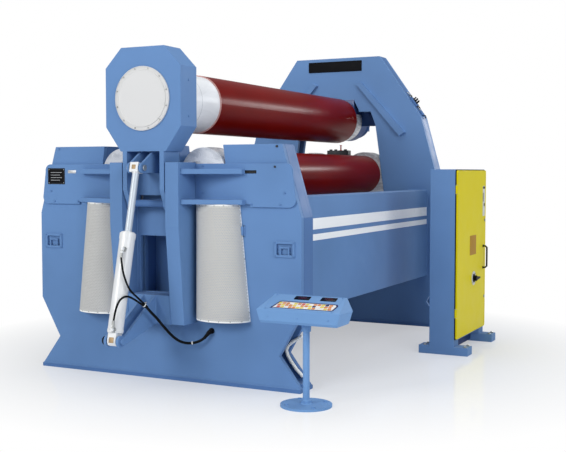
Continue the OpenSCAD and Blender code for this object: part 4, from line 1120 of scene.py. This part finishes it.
def make_cabinet():
    """The cabinet's gasket, louvres, filter fan, and its feet's bolts, welds and plinth."""
    p = Piece("door_gasket", "rubber")
    m = frame_at((1.8452, *DOOR_MIDDLE), RIGHT, UP)
    ring, core = rounded(1.005, 1.586, 0.028, 6), rounded(0.984, 1.565, 0.02, 6)
    loops = [p.verts(m @ Vector(v) for v in loop) for loop in (
        [(x, y, 0) for x, y in ring], [(x * 0.997, y * 0.998, 0.0085) for x, y in ring],
        [(x, y, 0.0085) for x, y in core], [(x, y, 0) for x, y in core],
    )]
    for a, b in zip(loops, loops[1:] + loops[:1]):
        for i in range(len(ring)):
            j = (i + 1) % len(ring)
            p.bm.faces.new((a[i], a[j], b[j], b[i]))

    p = Piece("cabinet_louvres", "blue")
    outline = [(-0.12, 0), (-0.112, 0.01), (0.112, 0.01), (0.12, 0)]
    for row in range(9):
        for column in range(3):
            m = frame_at((1.6078, 2.235 + 0.33 * column, 0.55 + 0.045 * row), -RIGHT, UP)
            low = p.verts(m @ Vector((u, -0.012, 0)) for u, _ in outline)
            top = p.verts(m @ Vector((u, 0.01, h)) for u, h in outline)
            lip = p.verts(m @ Vector((u, -0.002, h + (0.004 if h else 0))) for u, h in outline)
            for i in range(3):
                for a, b in ((low, top), (top, lip)):
                    p.bm.faces.new((a[i], a[i + 1], b[i + 1], b[i]))
    p = Piece("cabinet_filter_fan", "grey")
    fan = frame_at((1.722, 3.0752, 1.42), BACK, UP)
    p.plate(0.15, 0.15, 0.012, fan, 0.007, 0.002)
    for k in range(9):
        v = 0.0145 * k
        p.box((-0.058, v - 0.06, 0.006), (0.058, v - 0.052, 0.011), 0.001, fan)

    p = Piece("cabinet_foot_bolts", "zinc")
    for y in (2.085, 2.18, 2.952, 3.047):
        for x in (1.56, 1.945):
            p.hex_bolt((x, y, 0.0772), UP, 14)
    p = Piece("cabinet_foot_welds", "blue")
    for y, out in ((2.2075, BACK), (2.9245, FRONT)):
        p.bead((1.612, y, 0.0775), (1.842, y, 0.0775), out, UP, 0.004, int(y * 10))
    # a plinth panel between the feet; its dark navy is painted shade under the cabinet
    Piece("cabinet_plinth", "navy").box((1.7, 2.205, 0.018), (1.76, 2.927, 0.13), 0.004)


PANEL_X, RAIL_X = 1.6272, 1.6345


def make_gear():
    """Trunking, rails and rows of modules on the cabinet's back panel."""
    Piece("gear_back_panel", "galvanised").box((1.624, 2.1, 0.19), (PANEL_X, 3.032, 1.66), 0.0008)
    p = Piece("gear_trunking", "trunking")
    for z in (0.3, 0.62, 0.94, 1.26, 1.58):
        p.box((PANEL_X, 2.13, z - 0.022), (1.69, 3.002, z + 0.022), 0.002)
        for k in range(44):
            y = 2.14 + 0.0197 * k
            p.box((1.6905, y, z - 0.0225), (1.6912, y + 0.009, z + 0.0225), 0)
    for y in (2.13, 2.958):
        p.box((PANEL_X, y, 0.324), (1.69, y + 0.044, 1.556), 0.002)
    rails = Piece("gear_rails", "zinc")
    dark, pale = Piece("gear_modules_dark", "black"), Piece("gear_modules_pale", "pale")
    keys = Piece("gear_toggles", "amber")
    rnd = random.Random(11)
    for row, z in enumerate((0.46, 0.78, 1.1, 1.42)):
        rails.box((PANEL_X, 2.19, z - 0.0175), (RAIL_X, 2.945, z + 0.0175), 0.001)
        y = 2.205
        while y < 2.9:
            w = rnd.choice((0.0175, 0.035, 0.0525, 0.045)) if row else 0.0095
            if y + w > 2.93:
                break
            h = 0.045 if row else 0.03
            face = RAIL_X + (rnd.choice((0.066, 0.072, 0.09)) if row else 0.05)
            target = pale if rnd.random() < 0.6 else dark
            target.box((RAIL_X, y, z - h), (face, y + w - 0.001, z + h), 0.0015)
            if row and w > 0.02:
                keys.box((face - 0.001, y + w * 0.35, z - 0.012),
                         (face + 0.008, y + w * 0.65, z + 0.012), 0.001)
            y += w + (0.028 if rnd.random() < 0.14 else 0)


CONSOLE_SLOPE = math.atan(0.387)
CONSOLE_UP = Vector((0, -math.sin(CONSOLE_SLOPE), math.cos(CONSOLE_SLOPE)))
CONSOLE_RISE = Vector((0, math.cos(CONSOLE_SLOPE), math.sin(CONSOLE_SLOPE)))
CONSOLE_BASE = Vector((STAND_X, -0.3705, 0.758))
# seven-segment digit: each bar's place and size
BARS = [(0, 0.011, 0.009, 0.0018), (0, -0.011, 0.009, 0.0018)] + [
    (x, y, 0.0018, 0.009) for y in (0.0055, -0.0055) for x in (-0.006, 0.006)
]
MEMBRANE_EDGE = [
    (-0.232, -0.1), (-0.196, -0.094), (0.246, -0.094), (0.262, -0.086), (0.276, -0.02), (0.262, 0.006),
    (-0.172, 0.014), (-0.196, 0.008),
]
MEMBRANE_FACE = [
    (-0.214, -0.094), (-0.196, -0.088), (0.236, -0.088), (0.252, -0.08), (0.262, -0.022), (0.25, -0.006),
    (-0.17, 0.000), (-0.188, -0.006),
]
KEY_ORDER = (
    "yellow orange orange white yellow orange red yellow white orange orange yellow navy white".split()
)


def on_console(u, v, out=0.0):
    p = CONSOLE_BASE + RIGHT * u + CONSOLE_RISE * v + CONSOLE_UP * out
    return Matrix.Translation(p) @ Matrix((RIGHT, CONSOLE_RISE, CONSOLE_UP)).transposed().to_4x4()


def make_console():
    """Two displays, the key membrane in its dark edge, screws, and the lid's seam."""
    for tag, u, v in (("left", -0.043, 0.07), ("right", 0.166, 0.072)):
        bezel, glass = Piece("display_bezel_" + tag, "plate_black"), Piece("display_glass_" + tag, "glass")
        bezel.plate(0.122, 0.052, 0.006, on_console(u, v, 0.0004), 0.0022, 0.0008)
        glass.plate(0.112, 0.043, 0.005, on_console(u, v, 0.0024), 0.0012, 0.0005)
        digits = Piece("display_digits_" + tag, "glimmer")
        for x in (-0.022, 0.0005, 0.023):
            for dx, dy, w, h in BARS:
                digits.plate(w, h, 0.0005, on_console(u + x + dx, v + dy, 0.0035), 0.0003, 0, 2)
    Piece("membrane_edge", "key_navy").prism(MEMBRANE_EDGE, on_console(0, 0, 0.0004), 0.001, 0.0003)
    Piece("membrane_face", "key_white").prism(MEMBRANE_FACE, on_console(0, 0, 0.0013), 0.0008, 0.0002)

    fields = {tone: Piece("membrane_" + tone, tone) for tone in KEYS}
    rnd = random.Random(7)
    for row in range(3):
        for k in range(14):
            u = -0.178 + 0.0308 * k + 0.006 * (row == 2)
            if u > 0.232:
                continue
            planned = KEY_ORDER[(k + 3 * row) % len(KEY_ORDER)]
            tone = planned if rnd.random() < 0.75 else rnd.choice(("orange", "white", "red", "yellow"))
            place = on_console(u, -0.02 - 0.0275 * row, 0.002)
            fields["key_" + tone].plate(0.0262, 0.0215, 0.005, place, 0.0014, 0.0005, 3)

    p = Piece("console_screws", "stand")
    for u in (-0.262, 0.262):
        for v in (0.098, -0.11):
            p.socket_bolt(on_console(u, v, 0.0004).translation, CONSOLE_UP, 4.8)
    for x in (-0.24, 0.0, 0.24):
        p.socket_bolt((STAND_X + x, -0.4852, 0.66), FRONT, 4.5)
    p = Piece("console_lid_seam", "stand")
    lid = on_console(0, 0, 0.0002)
    outline = [lid @ Vector((x, y, 0))
               for x, y in ((-0.276, -0.116), (0.276, -0.116), (0.268, 0.108), (-0.268, 0.108))]
    for a, b in zip(outline, outline[1:] + outline[:1]):
        p.tube([a, (a + b) / 2, b], 0.0011, 6)


def make_stand():
    """The console's mount, and the bolts and weld rings of the stand."""
    foot = Vector((STAND_X, STAND_Y, 0))
    p = Piece("console_mount", "stand")
    p.box(foot + Vector((-0.07, -0.07, 0.604)), foot + Vector((0.07, 0.07, 0.612)), 0.002)
    p.turned([(25.2, -60), (34, -56), (36, -4), (44, 0), (25.2, 0)], foot + UP * 0.604, UP, 36)
    p = Piece("stand_bolts", "stand")
    for (x, y), (u, v) in zip(circle(4, 0.15), circle(4, 0.078)):
        p.hex_bolt(foot + Vector((x, y, 0.0181)), UP, 12)
        p.socket_bolt(foot + Vector((u, v, 0.6038)), -UP, 6)
    for a in (0.6, 2.7, 4.8):
        out = Vector((math.cos(a), math.sin(a), 0))
        p.socket_bolt(foot + out * 0.0368 + UP * 0.032, out, 4.5)
    p = Piece("stand_welds", "stand")
    p.turned([(36.5, 17.8), (44.5, 17.8), (41, 23.5), (36.5, 27)], foot, UP, 40)
    p.turned([(24.5, 42.5), (32, 42.8), (28.5, 48), (24.5, 52)], foot, UP, 36)


make_head()
make_tilt_cylinder()
for side, word in SIDES:
    make_guard(side, word)
make_near_frame()
make_beams()
make_yoke()
make_drives()
make_door()
make_cabinet()
make_gear()
make_console()
make_stand()
for p in list(Piece.waiting):
    p.done()

# ---- floor and light

WHITE = (1.0, 1.0, 1.0, 1.0)
STAGE_X, STAGE_Y = 0.3, 1.7


def make_floor():
    """Plain pale floor that fades into the white backdrop."""
    mesh = bpy.data.meshes.new("floor")
    bm = bmesh.new()
    bmesh.ops.create_circle(bm, cap_ends=True, segments=96, radius=40.0)
    bmesh.ops.translate(bm, verts=bm.verts, vec=(STAGE_X, STAGE_Y, 0.0))
    bm.to_mesh(mesh)
    bm.free()
    floor = bpy.data.objects.new("floor", mesh)
    SCENE.collection.objects.link(floor)
    s = Shader("studio_floor")
    rays = s.node("LightPath").outputs
    fade = s.remap(s.radius(STAGE_X, STAGE_Y, upright=False), 1.9, 3.5, 0.42, 1.0)
    seen = s.times(fade, s.math("MAXIMUM", rays["Is Camera Ray"], rays["Is Glossy Ray"]))
    glow = s.node("Emission", {"Color": WHITE})
    s.show(s.node("MixShader", {0: seen, 1: s.bsdf.outputs[0], 2: glow.outputs[0]}))
    floor_look = {"Base Color": srgb(238, 241, 246), "Roughness": 0.09, "Specular IOR Level": 0.6}
    floor.data.materials.append(s.finish(floor_look))


def make_world():
    """White where the camera looks, and a dim cool light from all round on the object."""
    SCENE.world = bpy.data.worlds.new("studio")
    w = Nodes(SCENE.world, "OutputWorld")
    lit = w.node("Background", {"Color": (0.9, 0.95, 1.0, 1.0), "Strength": 0.34})
    shown = w.node("Background", {"Color": WHITE})
    seen = w.node("LightPath").outputs["Is Camera Ray"]
    w.show(w.node("MixShader", {0: seen, 1: lit.outputs[0], 2: shown.outputs[0]}))


def area(name, place, aim, size, power, colour=(1, 1, 1), roll=0.0):
    """A soft lamp at place that faces aim, turned by roll degrees about its own axis."""
    data = bpy.data.lights.new(name, "AREA")
    data.shape = "RECTANGLE"
    data.size, data.size_y = size
    data.energy = power
    data.color = colour
    lamp = bpy.data.objects.new(name, data)
    SCENE.collection.objects.link(lamp)
    lamp.location = place
    lamp.rotation_mode = "QUATERNION"
    turn = Quaternion(UP, math.radians(roll))
    lamp.rotation_quaternion = (Vector(aim) - Vector(place)).to_track_quat("-Z", "Y") @ turn
    lamp.visible_camera = False


make_floor()
make_world()
area("key", (-5.0, -14.0, 7.0), (0.0, 0.4, 1.3), (7.0, 5.5), 1240.0, (1.0, 0.99, 0.97))
area("side", (9.6, -4.5, 5.0), (0.5, 1.6, 1.2), (6.0, 4.0), 440.0, (0.96, 0.98, 1.0))
area("top", (0.5, 2.0, 9.0), (0.3, 1.8, 0.5), (7.0, 7.0), 320.0)
area("back", (4.45, 11.0, 4.15), (0.2, 2.0, 2.0), (4.2, 0.7), 240.0, roll=-19.0)

# ---- CAD nodes

NODE_FINISH = by_member({
    "white": "head_cap", "barrel": "tilt_barrel", "rod": "tilt_rod", "yellow": "cabinet_door",
    # blue_inner is the frame's blue made darker: painted shade on the cores and the tilt shaft
    "blue_inner": "tilt_shaft near_frame_core near_rear_plate yoke_core",
    "blue_deep": "top_drive side_drive_left side_drive_right",
    "roll_top": "top_roll", "roll_left": "side_roll_left", "roll_right": "side_roll_right",
    # film_far is the film made darker: painted shade on the far blocks
    "film": "block_near_left block_near_right", "film_far": "block_far_left block_far_right",
    "bearing": "top_bearing", "black": "door_handle isolator_switch hose_gland",
    "steel": "lift_barrel_near_left lift_barrel_near_right lift_barrel_far_left lift_barrel_far_right",
    # the stand's finish is the frame's blue made lighter: painted light
    "stand": "control_stand control_console",
})
# width of the chamfer that breaks the plate edges of some nodes
BROKEN_EDGE = by_member({
    0.002: "tilt_shaft head_cap",
    0.003: "near_frame_core near_rear_plate post_web cabinet_body",
    0.0035: "cabinet_door",
    0.004: "near_front_plate yoke_outer_plate yoke_core yoke_inner_plate side_beam_left side_beam_right "
           "bearing_cover_left bearing_cover_right control_console",
    0.005: "drop_head guide_post_left guide_post_right",
})


def finish_nodes():
    """Gives every CAD node its finish, and breaks the sharp edges of the welded plates."""
    for name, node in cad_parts.items():
        node.data.materials.clear()
        node.data.materials.append(M[NODE_FINISH.get(name, "blue")])
        if name in BROKEN_EDGE:
            weld = node.modifiers.new("weld", "WELD")
            weld.merge_threshold = 0.00001
            flat = node.modifiers.new("flat", "DECIMATE")
            flat.decimate_type = "DISSOLVE"
            flat.angle_limit = math.radians(0.5)
            bevel = node.modifiers.new("edge", "BEVEL")
            bevel.limit_method = "ANGLE"
            bevel.angle_limit = math.radians(30.0)
            bevel.width = BROKEN_EDGE[name]
            bevel.segments = 2
            bevel.use_clamp_overlap = True
            bevel.harden_normals = True


finish_nodes()

SCENE.view_settings.view_transform = "Standard"
